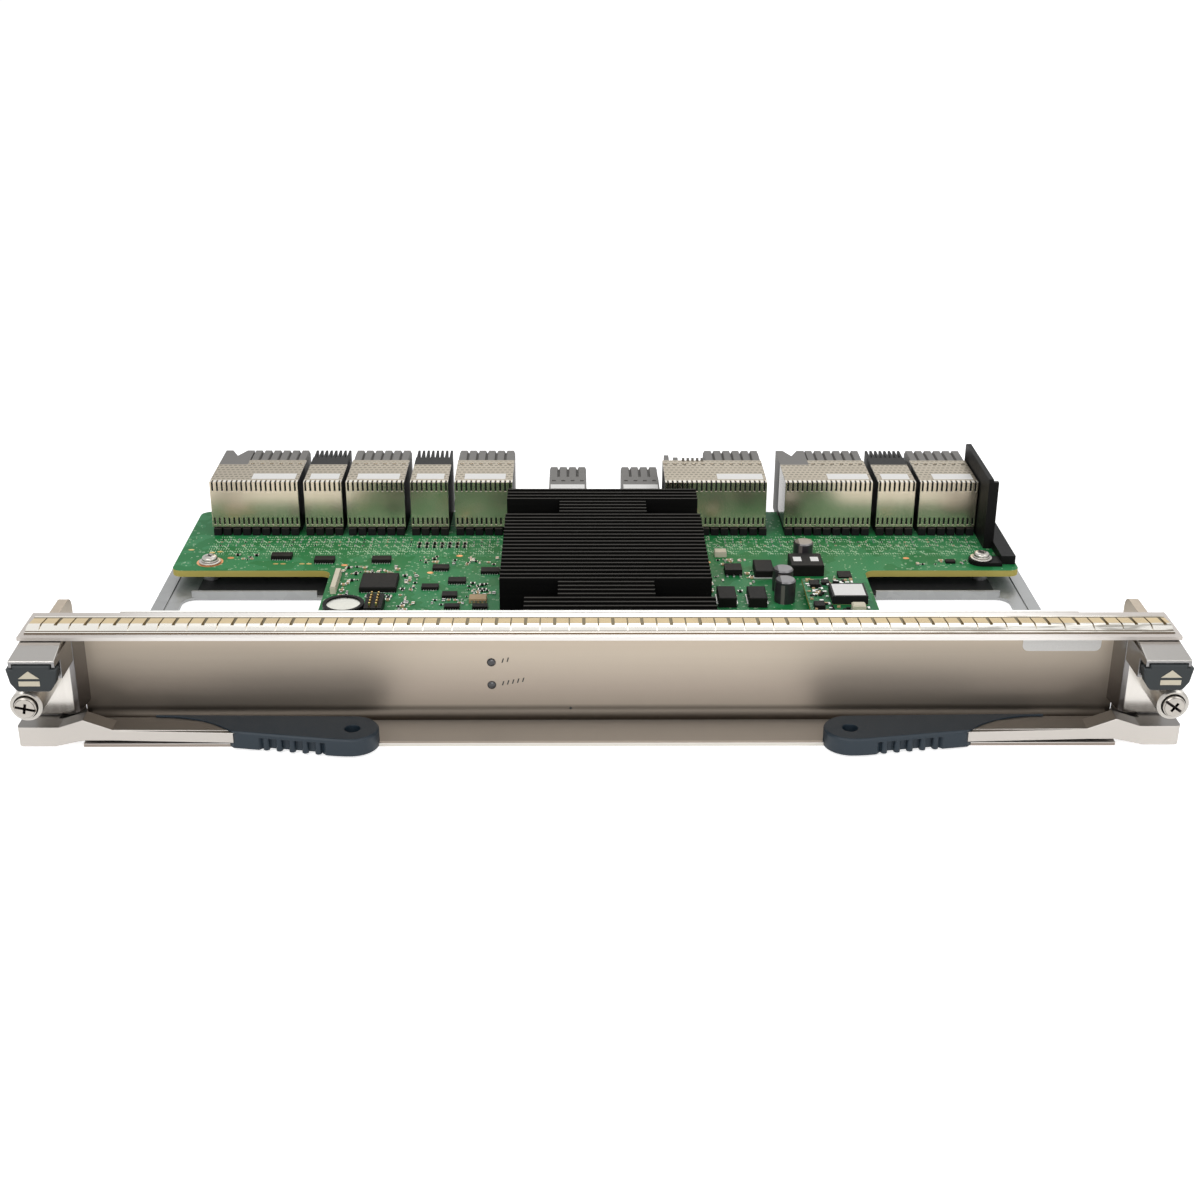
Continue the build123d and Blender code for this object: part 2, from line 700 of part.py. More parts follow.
def ridges(left, right, top, y):
    """Rounded teeth along a housing's top, one for each pair of wafers."""
    count = round((right - left) / (2 * WAFER_PITCH))
    first = (left + right) / 2 - (count - 1) * WAFER_PITCH
    root = top - RIDGE_HEIGHT
    teeth = []
    for index in range(count):
        x = first + index * 2 * WAFER_PITCH
        foot = WAFER_PITCH - RIDGE_SLOPE * 0.2
        crown = foot - RIDGE_SLOPE
        teeth.append(outline((x - foot, root), (x - crown, top), (x + crown, top), (x + foot, root)))
    return prism_y(Sketch() + teeth, y)


def mating_slots(left, right, z):
    """The slots in the rear face that take the backplane's blades."""
    count = round((right - left) / WAFER_PITCH)
    first = (left + right) / 2 - (count - 1) * WAFER_PITCH / 2
    cells = []
    for index in range(count):
        x = first + index * WAFER_PITCH
        cells.append(rectangle((x - MATING_SLOT / 2, x + MATING_SLOT / 2), z))
    return prism_y(Sketch() + cells, (CONNECTOR_REAR - MATING_SLOT_DEPTH, CONNECTOR_REAR + 1))


def signal_housing(left, right, height):
    """Grey mating housing with ridges on top and slots in its rear face."""
    top = connector_top(height)
    root = top - RIDGE_HEIGHT
    over_board = block((left, right), (HOUSING_FRONT, BOARD_REAR + SLIDE_EASE), (board_top, root))
    past_board = block((left, right), (BOARD_REAR + SLIDE_EASE, CONNECTOR_REAR),
                       (board_top - HOUSING_UNDERHANG, root))
    tongue_rear = CONNECTOR_FRONT + STIFFENER_DEPTH
    crown = ridges(left, right, top, (tongue_rear, CONNECTOR_REAR))
    filler = block((left, right), (HOUSING_FRONT, tongue_rear), (root - 1, top - STIFFENER_SHEET))
    housing = over_board + past_board + crown + filler
    span = (board_top + MATING_MARGIN, root - MATING_MARGIN)
    return housing - mating_slots(left, right, span)


def guide_block(left, right):
    """Grey block beside a signal housing, bored for the backplane's guide pin."""
    top = connector_top(CONNECTOR_HEIGHT)
    over_board = block((left, right), (HOUSING_FRONT, BOARD_REAR + SLIDE_EASE), (board_top, top))
    past_board = block((left, right), (BOARD_REAR + SLIDE_EASE, CONNECTOR_REAR),
                       (board_top - HOUSING_UNDERHANG, top))
    x = (left + right) / 2
    notch = outline(
        (x - GUIDE_NOTCH_WIDTH / 2, CONNECTOR_REAR + 1),
        (x, CONNECTOR_REAR - GUIDE_NOTCH_DEPTH),
        (x + GUIDE_NOTCH_WIDTH / 2, CONNECTOR_REAR + 1),
    )
    notch = prism_z(notch, (top - GUIDE_NOTCH_HEIGHT, top + 1))
    bore = rod_y(x, guide_bore_z(), GUIDE_BORE, (CONNECTOR_REAR - GUIDE_DEPTH, CONNECTOR_REAR + 1))
    return over_board + past_board - notch - bore


def guide_bore_z():
    """The height of the guide sockets."""
    return board_top + (CONNECTOR_HEIGHT - GUIDE_NOTCH_HEIGHT) / 2


def power_body(left, right, height):
    """Black power connector: wafers in front and a row of blades at the rear."""
    top = connector_top(height)
    body = wafer_body(left, right, height)
    blades_front = CONNECTOR_REAR - BLADE_LENGTH
    low = board_top - HOUSING_UNDERHANG
    body += block((left, right), (HOUSING_FRONT, BOARD_REAR + SLIDE_EASE), (board_top, top))
    body += block((left, right), (BOARD_REAR + SLIDE_EASE, blades_front), (low, top))
    body += block((left, right), (blades_front - 1, CONNECTOR_REAR), (low, low + HOUSING_UNDERHANG))
    count = round((right - left) / WAFER_PITCH)
    first = (left + right) / 2 - (count - 1) * WAFER_PITCH / 2
    blades = []
    for index in range(count):
        x = first + index * WAFER_PITCH
        blades.append(block((x - BLADE_THICKNESS / 2, x + BLADE_THICKNESS / 2),
                            (blades_front - 1, CONNECTOR_REAR), (low, top)))
    return body + blades


def save_guided(name, left):
    """A signal connector with a guide block on its left."""
    right = left + GUIDE_WIDTH + SIGNAL_WIDTH
    signal_left = left + GUIDE_WIDTH
    height = CONNECTOR_HEIGHT
    save(stiffener(left, right, height, (signal_left, right), side_wall=True), f"{name}_stiffener")
    save(wafer_body(left, right, height, side_wall=True), f"{name}_wafers")
    housing = guide_block(left, signal_left) + signal_housing(signal_left, right, height)
    save(housing, f"{name}_housing")


def save_keyed(name, left):
    """A signal connector whose left part is an open keyed bay."""
    signal_left = left + KEYED_EXTRA
    right = signal_left + SIGNAL_WIDTH
    height = CONNECTOR_HEIGHT
    save(stiffener(left, right, height, (left, right)), f"{name}_stiffener")
    save(wafer_body(left, right, height), f"{name}_wafers")
    top = connector_top(height)
    low = board_top - HOUSING_UNDERHANG
    bay_top = top - RIDGE_HEIGHT
    tongue_rear = CONNECTOR_FRONT + STIFFENER_DEPTH
    bay = block((left, signal_left), (HOUSING_FRONT, BOARD_REAR + SLIDE_EASE), (board_top, bay_top))
    bay += block((left, signal_left), (BOARD_REAR + SLIDE_EASE, CONNECTOR_REAR), (low, low + GUIDE_DEPTH / 2))
    bay += block((left, signal_left), (HOUSING_FRONT, tongue_rear), (bay_top - 1, top - STIFFENER_SHEET))
    for index in range(2):
        x = left + WAFER_PITCH * (0.5 + 2 * index)
        bay += block((x, x + WAFER_PITCH), (BOARD_REAR + SLIDE_EASE, CONNECTOR_REAR - BLADE_LENGTH / 2),
                     (low, top - STIFFENER_SHEET - index))
    for index in range(COMB_COUNT):
        x = left + COMB_INSET + index * WAFER_PITCH
        bay += block((x, x + COMB_TOOTH), (tongue_rear, tongue_rear + COMB_TOOTH),
                     (bay_top - 1, top + COMB_RISE))
    save(bay + signal_housing(signal_left, right, height), f"{name}_housing")


def save_signal(name, left, width, height):
    """A plain signal connector."""
    right = left + width
    save(stiffener(left, right, height, (left, right)), f"{name}_stiffener")
    save(wafer_body(left, right, height), f"{name}_wafers")
    save(signal_housing(left, right, height), f"{name}_housing")


def save_power(name, left):
    """A power connector."""
    right = left + POWER_WIDTH
    save(stiffener(left, right, CONNECTOR_HEIGHT, None), f"{name}_stiffener")
    save(power_body(left, right, CONNECTOR_HEIGHT), f"{name}_body")


def small_connector(left):
    """A short signal connector as one piece, hidden up to its top behind the heat sink."""
    right = left + SMALL_WIDTH
    body = wafer_body(left, right, SMALL_HEIGHT) + signal_housing(left, right, SMALL_HEIGHT)
    return body + stiffener(left, right, SMALL_HEIGHT, (left, right))


def guide_bracket():
    """Black key plate beside the connectors, with an arm along the board's edge."""
    plate = block((BRACKET_LEFT, BRACKET_LEFT + BRACKET_PLATE), (BRACKET_FRONT, BRACKET_REAR),
                  (board_top, BRACKET_TOP))
    plate = chamfer(plate.edges().filter_by(Axis.X).group_by(Axis.Z)[-1], BRACKET_PLATE / 2)
    ridge = block((BRACKET_LEFT, BRACKET_LEFT + BRACKET_RIDGE),
                  (BRACKET_FRONT, BRACKET_FRONT + BRACKET_RIDGE / 2), (board_top, BRACKET_TOP - 1))
    arm = block((ARM_INNER, ARM_OUTER), (ARM_FRONT, BOARD_REAR), (board_top, board_top + ARM_HEIGHT))
    join = block((BRACKET_LEFT, ARM_INNER), (BRACKET_FRONT, BOARD_REAR), (board_top, board_top + ARM_HEIGHT))
    foot = Pos(SCREW_X, SCREW_Y) * Circle(FOOT_RADIUS)
    foot += rectangle((SCREW_X, ARM_INNER), (SCREW_Y - FOOT_RADIUS, SCREW_Y + FOOT_RADIUS / 2))
    foot -= Pos(SCREW_X, SCREW_Y) * Circle(BOARD_SCREW_RADIUS + HOLE_EASE)
    return plate + ridge + arm + join + prism_z(foot, (board_top, board_top + FOOT_PLATE))


# What stands on the board

def component(place):
    """A plain component from its four sides and its height."""
    left, right, front, rear, height = place
    return block((left, right), (front, rear), (board_top, board_top + height))


def board_chips():
    """The large square processor and all the small chips, as separate solids."""
    processor = chamfer(component(PROCESSOR).edges().group_by(Axis.Z)[-1], 0.4)
    return Compound(children=[processor] + [component(place) for place in CHIPS.values()])


def pin_header():
    """Two rows of pins in a black base."""
    left, right, front, rear, height = HEADER
    base_top = board_top + height - HEADER_PIN_RISE
    header = block((left, right), (front, rear), (board_top, base_top))
    middle_x = (left + right) / 2
    rows = int((rear - front) / HEADER_PITCH)
    first = (front + rear) / 2 - (rows - 1) * HEADER_PITCH / 2
    half = HEADER_PIN / 2
    pins = []
    for side in (-1, 1):
        x = middle_x + side * HEADER_PITCH / 2
        for index in range(rows):
            y = first + index * HEADER_PITCH
            pins.append(block((x - half, x + half), (y - half, y + half),
                              (base_top, base_top + HEADER_PIN_RISE)))
    return header + pins


def coin_cell_holder():
    """Round black holder with the cell lying in it."""
    outer = CELL_RADIUS + CELL_WALL
    ring = rod_z(CELL_X, CELL_Y, outer, (board_top, board_top + CELL_HEIGHT))
    return ring - rod_z(CELL_X, CELL_Y, CELL_RADIUS, (board_top + 1, board_top + CELL_HEIGHT + 1))


def coin_cell():
    """The cell itself, a little lower than its holder's rim."""
    return rod_z(CELL_X, CELL_Y, CELL_RADIUS - FIXED_FIT, (board_top + 1, board_top + CELL_HEIGHT - 0.6))


def power_capacitors():
    """Round electrolytic capacitors with a beaded can."""
    cans = []
    for x, y, height in CAPACITORS.values():
        can = rod_z(x, y, CAPACITOR_RADIUS, (board_top, board_top + height))
        cans.append(chamfer(can.edges().group_by(Axis.Z)[-1], 0.5))
    return Compound(children=cans)


def power_inductors():
    """Square moulded inductors."""
    blocks = []
    for place in INDUCTORS.values():
        blocks.append(chamfer(component(place).edges().group_by(Axis.Z)[-1], 0.3))
    return Compound(children=blocks)


def daughter_board():
    """Small board on a socket strip, carrying one square module."""
    left, right, front, rear = DAUGHTER
    low = board_top + DAUGHTER_LIFT
    high = low + DAUGHTER_SHEET
    card = block((left, right), (front, rear), (low, high))
    sockets = [block((left + 1, right - 1), (y, y + DAUGHTER_SOCKET), (board_top, low))
               for y in (front + 1, rear - 1 - DAUGHTER_SOCKET)]
    m_left, m_right, m_front, m_rear, height = MODULE
    module = block((m_left, m_right), (m_front, m_rear), (high, high + height))
    return card + sockets + module


# Latch housing, button and screw at the left end; the right end is its mirror

def latch_hood():
    """The hood over the button: it slopes up to the flange and wraps the button's shoulders."""
    outer = -panel_half
    inner = -hood_inner
    side = outline(
        (HOOD_LIP, latch_top - HOOD_WALL), (HOOD_LIP, latch_top), (HOOD_MEETS_FLANGE, flange_under),
        (LATCH_FRONT, flange_under), (LATCH_FRONT, hood_bottom), (HOOD_FRONT, hood_bottom),
        (HOOD_FRONT, latch_top - HOOD_WALL),
    )
    hood = prism_x(side, (outer, inner))
    roof = outline((outer, HOOD_LIP), (inner, HOOD_LIP), (inner - HOOD_TAPER / 2, LATCH_FRONT),
                   (outer + HOOD_TAPER, LATCH_FRONT))
    above = prism_z(rectangle((outer, inner), (HOOD_LIP, LATCH_FRONT)) - roof, (latch_top, PANEL_HEIGHT))
    hood -= above
    for wall in ((outer, outer + HOOD_WALL), (inner - HOOD_WALL, inner)):
        hood += block(wall, (HOOD_LIP, HOOD_FRONT), (latch_top - HOOD_CHEEK, latch_top - HOOD_WALL / 2))
    lip = hood.edges().filter_by(Axis.X).group_by(Axis.Y)[0].group_by(Axis.Z)[-1]
    hood = fillet(lip, HOOD_ROUND)
    return hood - block((outer + HOOD_WALL, inner - HOOD_WALL), (HOOD_FRONT - 1, LATCH_FRONT),
                        (hood_bottom + HOOD_WALL, latch_top - HOOD_WALL))


def latch_housing():
    """Cast block under the flange with a hood for the button and a bore for the screw."""
    outer = -panel_half
    inner_front = -(web_half + LATCH_FLARE)
    inner_rear = -web_half
    plan = outline((outer, LATCH_FRONT), (inner_front, LATCH_FRONT),
                   (inner_front + LATCH_BEVEL, LATCH_FRONT + LATCH_BEVEL), (inner_rear, web_front),
                   (inner_rear, PANEL_DEPTH), (outer, PANEL_DEPTH))
    body = prism_z(plan, (LATCH_BOTTOM, latch_top))
    pad = plan & rectangle((outer, inner_rear), (LATCH_FRONT, PANEL_DEPTH - PANEL_BEND))
    body += prism_z(pad, (latch_top, flange_under))
    seat = block((outer, inner_front), (LATCH_FRONT / 2, LATCH_FRONT), (hood_bottom, flange_under))
    inside = block((outer + HOOD_WALL, -hood_inner - HOOD_WALL), (0, LATCH_FRONT),
                   (hood_bottom + HOOD_WALL, latch_top - HOOD_WALL))
    body = body + (seat - inside) + latch_hood()
    slot_rear = LUG_FRONT + LUG_LENGTH + BUTTON_TRAVEL + SLIDE_EASE
    slot_z = lug_heights(SLIDE_EASE)
    body -= block((outer - 1, outer + HOOD_WALL + 1), (LUG_FRONT - SLIDE_EASE, slot_rear), slot_z)
    return body - latch_hollows()


def latch_hollows():
    """The lever's shaft way, the claw's window, and the screw and pin holes."""
    shaft = HUB_RADIUS + HUB_EASE
    hub = rod_z(-pivot_x, PIVOT_Y, shaft, (LATCH_BOTTOM - 1, claw_top + HUB_EASE))
    window = block((-pivot_x - CLAW_OUTER, -pivot_x + shaft), (PIVOT_Y, PANEL_DEPTH + 1),
                   (claw_bottom - HUB_EASE, claw_top + HUB_EASE))
    side = block((-pivot_x, -pivot_x + shaft), (PIVOT_Y, PANEL_DEPTH + 1),
                 (LATCH_BOTTOM - 1, claw_top + HUB_EASE))
    pin = rod_z(-pivot_x, PIVOT_Y, PIN_RADIUS + FIXED_FIT, (claw_top, pin_top()))
    screw = rod_y(-screw_x, screw_z, SCREW_HOLE, (LATCH_FRONT - 1, PANEL_DEPTH + 1))
    return hub + window + side + pin + screw


def pin_top():
    """The upper end of the lever's pin, inside the housing's top."""
    return latch_top + PANEL_SHEET / 2


def lug_heights(ease):
    """The span in Z of the button's side lug, or of its slot with an ease."""
    middle = (hood_bottom + latch_top) / 2
    return middle - LUG_HEIGHT / 2 - ease, middle + LUG_HEIGHT / 2 + ease


def button_spring_x():
    """The axis of the button's spring."""
    return -(panel_half + hood_inner) / 2


def button_spring_z():
    """The height of the button's spring."""
    return (hood_bottom + latch_top) / 2


def button_outline(middle):
    """The cap from the front: notched shoulders under the hood, sloping sides, rounded foot."""
    neck = (panel_half - hood_inner) / 2 - HOOD_WALL - SLIDE_EASE
    half = BUTTON_WIDTH / 2
    shoulder = latch_top - HOOD_CHEEK - SLIDE_EASE
    knee = button_bottom + BUTTON_FOOT
    right = [(neck, button_top), (neck, shoulder), (half, shoulder), (half - BUTTON_SHOULDER, knee),
             (half - BUTTON_FOOT, button_bottom)]
    left = [(-x, z) for x, z in reversed(right)]
    cap = outline(*[(middle + x, z) for x, z in right + left])
    low = cap.vertices().group_by(Axis.Y)[0] + cap.vertices().group_by(Axis.Y)[1]
    return fillet(low, BUTTON_CORNER)


def eject_button():
    """Dark cap with rounded lower corners on a stem that slides in the hood."""
    middle = button_spring_x()
    cap = prism_y(button_outline(middle), (BUTTON_FACE, BUTTON_FACE + BUTTON_CAP))
    front = cap.faces().sort_by(Axis.Y)[0]
    cap = chamfer(front.edges(), 0.4)
    clear = HOOD_WALL + SLIDE_EASE
    stem = block((-panel_half + clear, -hood_inner - clear), (BUTTON_FACE + 1, BUTTON_REAR),
                 (hood_bottom + clear, latch_top - clear))
    lug = block((-panel_half + clear - LUG_DEPTH, -panel_half + clear + 1),
                (LUG_FRONT, LUG_FRONT + LUG_LENGTH), lug_heights(0))
    pocket = rod_y(middle, button_spring_z(), SPRING_POCKET,
                   (BUTTON_REAR - SPRING_POCKET_DEPTH, BUTTON_REAR + 1))
    return cap + stem + lug - pocket


def coil(x, z, radius, wire, front, rear):
    """A compression spring along Y between two seats."""
    length = rear - front - 2 * wire
    path = Helix(pitch=length / SPRING_TURNS, height=length, radius=radius)
    section = Plane(origin=path @ 0, z_dir=path % 0) * Circle(wire)
    spring = sweep(section, path=path, is_frenet=True)
    return Pos(x, front + wire, z) * Rot(-90, 0, 0) * spring


def button_spring():
    """The button's return spring, from its pocket back to the housing."""
    front = BUTTON_REAR - SPRING_POCKET_DEPTH
    return coil(button_spring_x(), button_spring_z(), BUTTON_COIL_RADIUS, BUTTON_WIRE,
                front, LATCH_FRONT)


def lever_side_view():
    """The arm seen from the front: root, hump and long thin arm."""
    end = -panel_half - ROOT_OVERHANG
    return outline(
        (end, ROOT_BOTTOM), (-panel_half + ROOT_STEP, ROOT_BOTTOM),
        (-panel_half + ROOT_STEP_END, ARM_BOTTOM - 0.4), (-panel_half + HUMP_INSET, ARM_BOTTOM),
        (-panel_half + ARM_IN_GRIP, ARM_BOTTOM), (-panel_half + ARM_IN_GRIP, ARM_TOP),
        (-panel_half + HUMP_START, ARM_TOP + 0.3), (-panel_half + HUMP_INSET, HUMP_TOP),
        (-pivot_x, ROOT_TOP), (end, ROOT_TOP),
    )


def ejector_lever():
    """One casting: arm along the panel, root, upright hub and the claw behind the panel."""
    side = lever_side_view()
    front = prism_y(side, (0, HUMP_DEPTH))
    thin = block((-panel_half + HUMP_INSET, -panel_half + ARM_IN_GRIP), (0, ARM_DEPTH), (ARM_BOTTOM, ARM_TOP))
    root = outline(
        (-panel_half - ROOT_OVERHANG, 0), (-panel_half + HUMP_INSET, 0),
        (-panel_half + HUMP_INSET, ARM_DEPTH), (-pivot_x + ROOT_RADIUS, PIVOT_Y),
        (-pivot_x - ROOT_RADIUS, PIVOT_Y), (-panel_half - ROOT_OVERHANG, ROOT_DEPTH),
    )
    root += Pos(-pivot_x, PIVOT_Y) * Circle(ROOT_RADIUS)
    upper = prism_z(root, (ARM_BOTTOM, ROOT_TOP - (ROOT_TOP - ARM_TOP) / 2))
    near_pivot = prism_z(Pos(-pivot_x, PIVOT_Y) * Circle(ROOT_RADIUS), (HUB_BOTTOM, ROOT_TOP))
    heel_end = -panel_half + ROOT_STEP
    heel = block((-panel_half - ROOT_OVERHANG, heel_end), (0, ROOT_DEPTH), (ROOT_BOTTOM, ROOT_TOP))
    hub = rod_z(-pivot_x, PIVOT_Y, HUB_RADIUS, (HUB_BOTTOM, claw_top))
    slant = prism_z(outline(
        (-panel_half + HUMP_START, 1), (-panel_half + HUMP_START, 0), (-panel_half + GRIP_START, GRIP_SIDE),
        (-panel_half + GRIP_START + 3, GRIP_SIDE), (-panel_half + GRIP_START + 4, 1),
    ), (ARM_BOTTOM, ARM_TOP))
    lever = front + thin + slant + upper + near_pivot + heel + hub + claw()
    corners = lever.edges().filter_by(Axis.Z).group_by(Axis.X)[0]
    lever = fillet(corners.group_by(Axis.Y)[0], 1.5)
    bore = rod_z(-pivot_x, PIVOT_Y, PIN_RADIUS + PIN_RUN, (HUB_BOTTOM - 1, claw_top + 1))
    return lever - bore


def claw():
    """The horn behind the panel that levers against the chassis."""
    tip = PIVOT_Y + CLAW_REACH
    plan = outline(
        (-pivot_x + HUB_RADIUS * 0.6, PIVOT_Y), (-pivot_x - CLAW_INNER, PIVOT_Y + CLAW_BEND),
        (-pivot_x - CLAW_INNER, tip), (-pivot_x - CLAW_OUTER + 1, tip),
        (-pivot_x - CLAW_OUTER, tip - 3), (-pivot_x - CLAW_OUTER, PIVOT_Y + CLAW_BEND),
        (-pivot_x - HUB_RADIUS, PIVOT_Y),
    )
    horn_top = claw_top + HORN_RISE
    side = outline(
        (PIVOT_Y - HUB_RADIUS, claw_bottom), (PIVOT_Y - HUB_RADIUS, claw_top), (PIVOT_Y + HORN_START, claw_top),
        (PIVOT_Y + HORN_FULL, horn_top), (tip, horn_top), (tip, claw_bottom),
    )
    side = fillet(rear_corner(side, -1), HORN_ROUND)
    reach = (-pivot_x - 2 * CLAW_OUTER, -pivot_x + 2 * CLAW_OUTER)
    return prism_z(plan, (claw_bottom, horn_top)) & prism_x(side, reach)


def grip_outline():
    """The grip from above: tongue, swelling side and round bulb."""
    bulb = (-panel_half + BULB_INSET, BULB_Y)
    tip = (-panel_half + TONGUE_INSET, TONGUE_Y)
    lower_tip = (tip[0], TONGUE_Y - TONGUE_TIP)
    start = (-panel_half + GRIP_START, GRIP_SIDE)
    swell = (-panel_half + GRIP_SWELL_INSET, GRIP_SWELL_Y)
    middle = (-panel_half + TONGUE_MID_INSET, TONGUE_MID_Y)
    edges = [
        Line((bulb[0], bulb[1] + BULB_RADIUS), tip),
        Line(tip, lower_tip),
        ThreePointArc(lower_tip, middle, start),
        Line(start, swell),
        Spline(swell, (bulb[0], bulb[1] - BULB_RADIUS), tangents=[(1, -0.2), (1, 0)]),
        RadiusArc((bulb[0], bulb[1] - BULB_RADIUS), (bulb[0], bulb[1] + BULB_RADIUS), -BULB_RADIUS),
    ]
    return make_face(edges)


def grip_side_y(inset):
    """How far forward the grip's straight side is, at a distance from the panel's end."""
    share = (inset - GRIP_START) / (GRIP_SWELL_INSET - GRIP_START)
    return GRIP_SIDE + share * (GRIP_SWELL_Y - GRIP_SIDE)


def lever_grip(arm):
    """Dark plastic grip with a ribbed scoop and a hole, moulded over the arm."""
    grip = prism_z(grip_outline(), (GRIP_BOTTOM, GRIP_TOP))
    front_high = grip.edges().group_by(Axis.Z)[-1].filter_by(GeomType.CIRCLE).sort_by(Axis.X)[-1]
    scoop = outline(
        (-panel_half + SCOOP_START, grip_side_y(SCOOP_START) - 2),
        (-panel_half + SCOOP_START, grip_side_y(SCOOP_START)),
        (-panel_half + SCOOP_START + 2, grip_side_y(SCOOP_START + 2) + SCOOP_DEPTH),
        (-panel_half + SCOOP_END - 2, grip_side_y(SCOOP_END - 2) + SCOOP_DEPTH),
        (-panel_half + SCOOP_END, grip_side_y(SCOOP_END)),
        (-panel_half + SCOOP_END, grip_side_y(SCOOP_END) - 2),
    )
    grip = chamfer(front_high, 0.6)
    skirt = grip_outline() & rectangle((-panel_half, 0), (GRIP_SWELL_Y - BULB_RADIUS, GRIP_SKIRT_REAR))
    grip += prism_z(skirt, (GRIP_SKIRT, GRIP_BOTTOM))
    grip -= prism_z(scoop, (GRIP_SKIRT - 1, SCOOP_TOP))
    for index in range(RIB_COUNT):
        inset = RIB_FIRST + index * RIB_PITCH
        rib = rod_z(-panel_half + inset, grip_side_y(inset) + RIB_RADIUS, RIB_RADIUS, (GRIP_SKIRT, SCOOP_TOP))
        neck = block((-panel_half + inset - RIB_RADIUS, -panel_half + inset + RIB_RADIUS),
                     (grip_side_y(inset) + RIB_RADIUS, grip_side_y(inset) + SCOOP_DEPTH + 1),
                     (GRIP_SKIRT, SCOOP_TOP))
        grip = grip + rib + neck
    hole = rod_z(-panel_half + BULB_INSET, GRIP_HOLE_Y, GRIP_HOLE, (-1, GRIP_TOP + 1))
    return grip - hole - arm


def lever_pins():
    """The two pins the levers turn on, from the lower flange up into the housings."""
    pins = [rod_z(side * pivot_x, PIVOT_Y, PIN_RADIUS, (0, pin_top())) for side in (-1, 1)]
    return Compound(children=pins)


def screw_ferrule():
    """Turned sleeve round the screw's head, pressed into the housing."""
    sleeve = rod_y(-screw_x, screw_z, FERRULE_RADIUS, (FERRULE_FRONT, LATCH_FRONT))
    front = sleeve.edges().group_by(Axis.Y)[0]
    sleeve = chamfer(front, 0.6)
    shank = rod_y(-screw_x, screw_z, FERRULE_SHANK, (LATCH_FRONT, FERRULE_SHANK_END))
    bore = rod_y(-screw_x, screw_z, FERRULE_BORE, (FERRULE_FRONT - 1, FERRULE_FLOOR))
    way = rod_y(-screw_x, screw_z, SHANK_RADIUS + SHANK_EASE, (FERRULE_FRONT, FERRULE_SHANK_END + 1))
    return sleeve + shank - bore - way


def captive_screw(tilt):
    """Captive screw: slotted and crossed head, plain shank, clip groove and thread."""
    head = rod_y(-screw_x, screw_z, HEAD_RADIUS, (HEAD_FRONT, HEAD_FRONT + HEAD_LENGTH))
    head = chamfer(head.edges().group_by(Axis.Y)[0], HEAD_CHAMFER)
    shank = rod_y(-screw_x, screw_z, SHANK_RADIUS, (HEAD_FRONT, THREAD_START))
    thread = rod_y(-screw_x, screw_z, THREAD_RADIUS, (THREAD_START, THREAD_END))
    thread = chamfer(thread.edges().group_by(Axis.Y)[-1], 0.5)
    groove_front = FERRULE_SHANK_END + CLIP_GROOVE / 2
    groove_rear = groove_front + CLIP_THICKNESS + CLIP_GROOVE
    ring = rod_y(-screw_x, screw_z, SHANK_RADIUS + 1, (groove_front, groove_rear))
    ring -= rod_y(-screw_x, screw_z, SHANK_RADIUS - CLIP_GROOVE, (groove_front - 1, groove_rear + 1))
    slot = Box(2 * HEAD_RADIUS + 1, 2 * SLOT_CUT_DEPTH, SLOT_CUT)
    cross = Box(CROSS_LENGTH, 2 * CROSS_DEPTH, SLOT_CUT) + Box(SLOT_CUT, 2 * CROSS_DEPTH, CROSS_LENGTH)
    drive = Pos(-screw_x, HEAD_FRONT, screw_z) * Rot(0, tilt, 0) * (slot + cross)
    return head + shank + thread - ring - drive


def screw_clip():
    """The washer that rides in the screw's groove and stops it from falling out."""
    start = FERRULE_SHANK_END + CLIP_GROOVE
    clip = rod_y(-screw_x, screw_z, CLIP_RADIUS, (start, start + CLIP_THICKNESS))
    bore = SHANK_RADIUS - CLIP_GROOVE + CLIP_RUN
    return clip - rod_y(-screw_x, screw_z, bore, (start - 1, start + CLIP_THICKNESS + 1))


def screw_spring():
    """The spring that pushes the screw's head out of its ferrule."""
    return coil(-screw_x, screw_z, SCREW_COIL_RADIUS, SCREW_WIRE,
                HEAD_FRONT + HEAD_LENGTH, FERRULE_FLOOR)


def save_latch():
    """Both ends' latches, levers and screws."""
    lever = ejector_lever()
    pieces = {
        "latch_housing": latch_housing(),
        "eject_button": eject_button(),
        "button_spring": button_spring(),
        "ejector_lever": lever,
        "lever_grip": lever_grip(lever),
        "screw_clip": screw_clip(),
        "screw_spring": screw_spring(),
    }
    for name, piece in pieces.items():
        save(piece, f"{name}_left")
        save(other_side(piece), f"{name}_right")
    save(captive_screw(SLOT_TILT["left"]), "captive_screw_left")
    save(other_side(captive_screw(SLOT_TILT["right"])), "captive_screw_right")
    save(lever_pins(), "lever_pins")
    ferrule = screw_ferrule()
    save(Compound(children=[ferrule, other_side(ferrule)]), "screw_ferrules")


def save_connectors():
    """The whole row of backplane connectors."""
    for name, left in GUIDED.items():
        save_guided(f"connector_{name}", left)
    for name, left in KEYED.items():
        save_keyed(f"connector_{name}", left)
    for name, left in SIGNAL.items():
        save_signal(f"connector_{name}", left, SIGNAL_WIDTH, CONNECTOR_HEIGHT)
    for name, left in POWER.items():
        save_power(f"power_connector_{name}", left)
    save(Compound(children=[small_connector(left) for left in SMALL.values()]), "small_connectors")


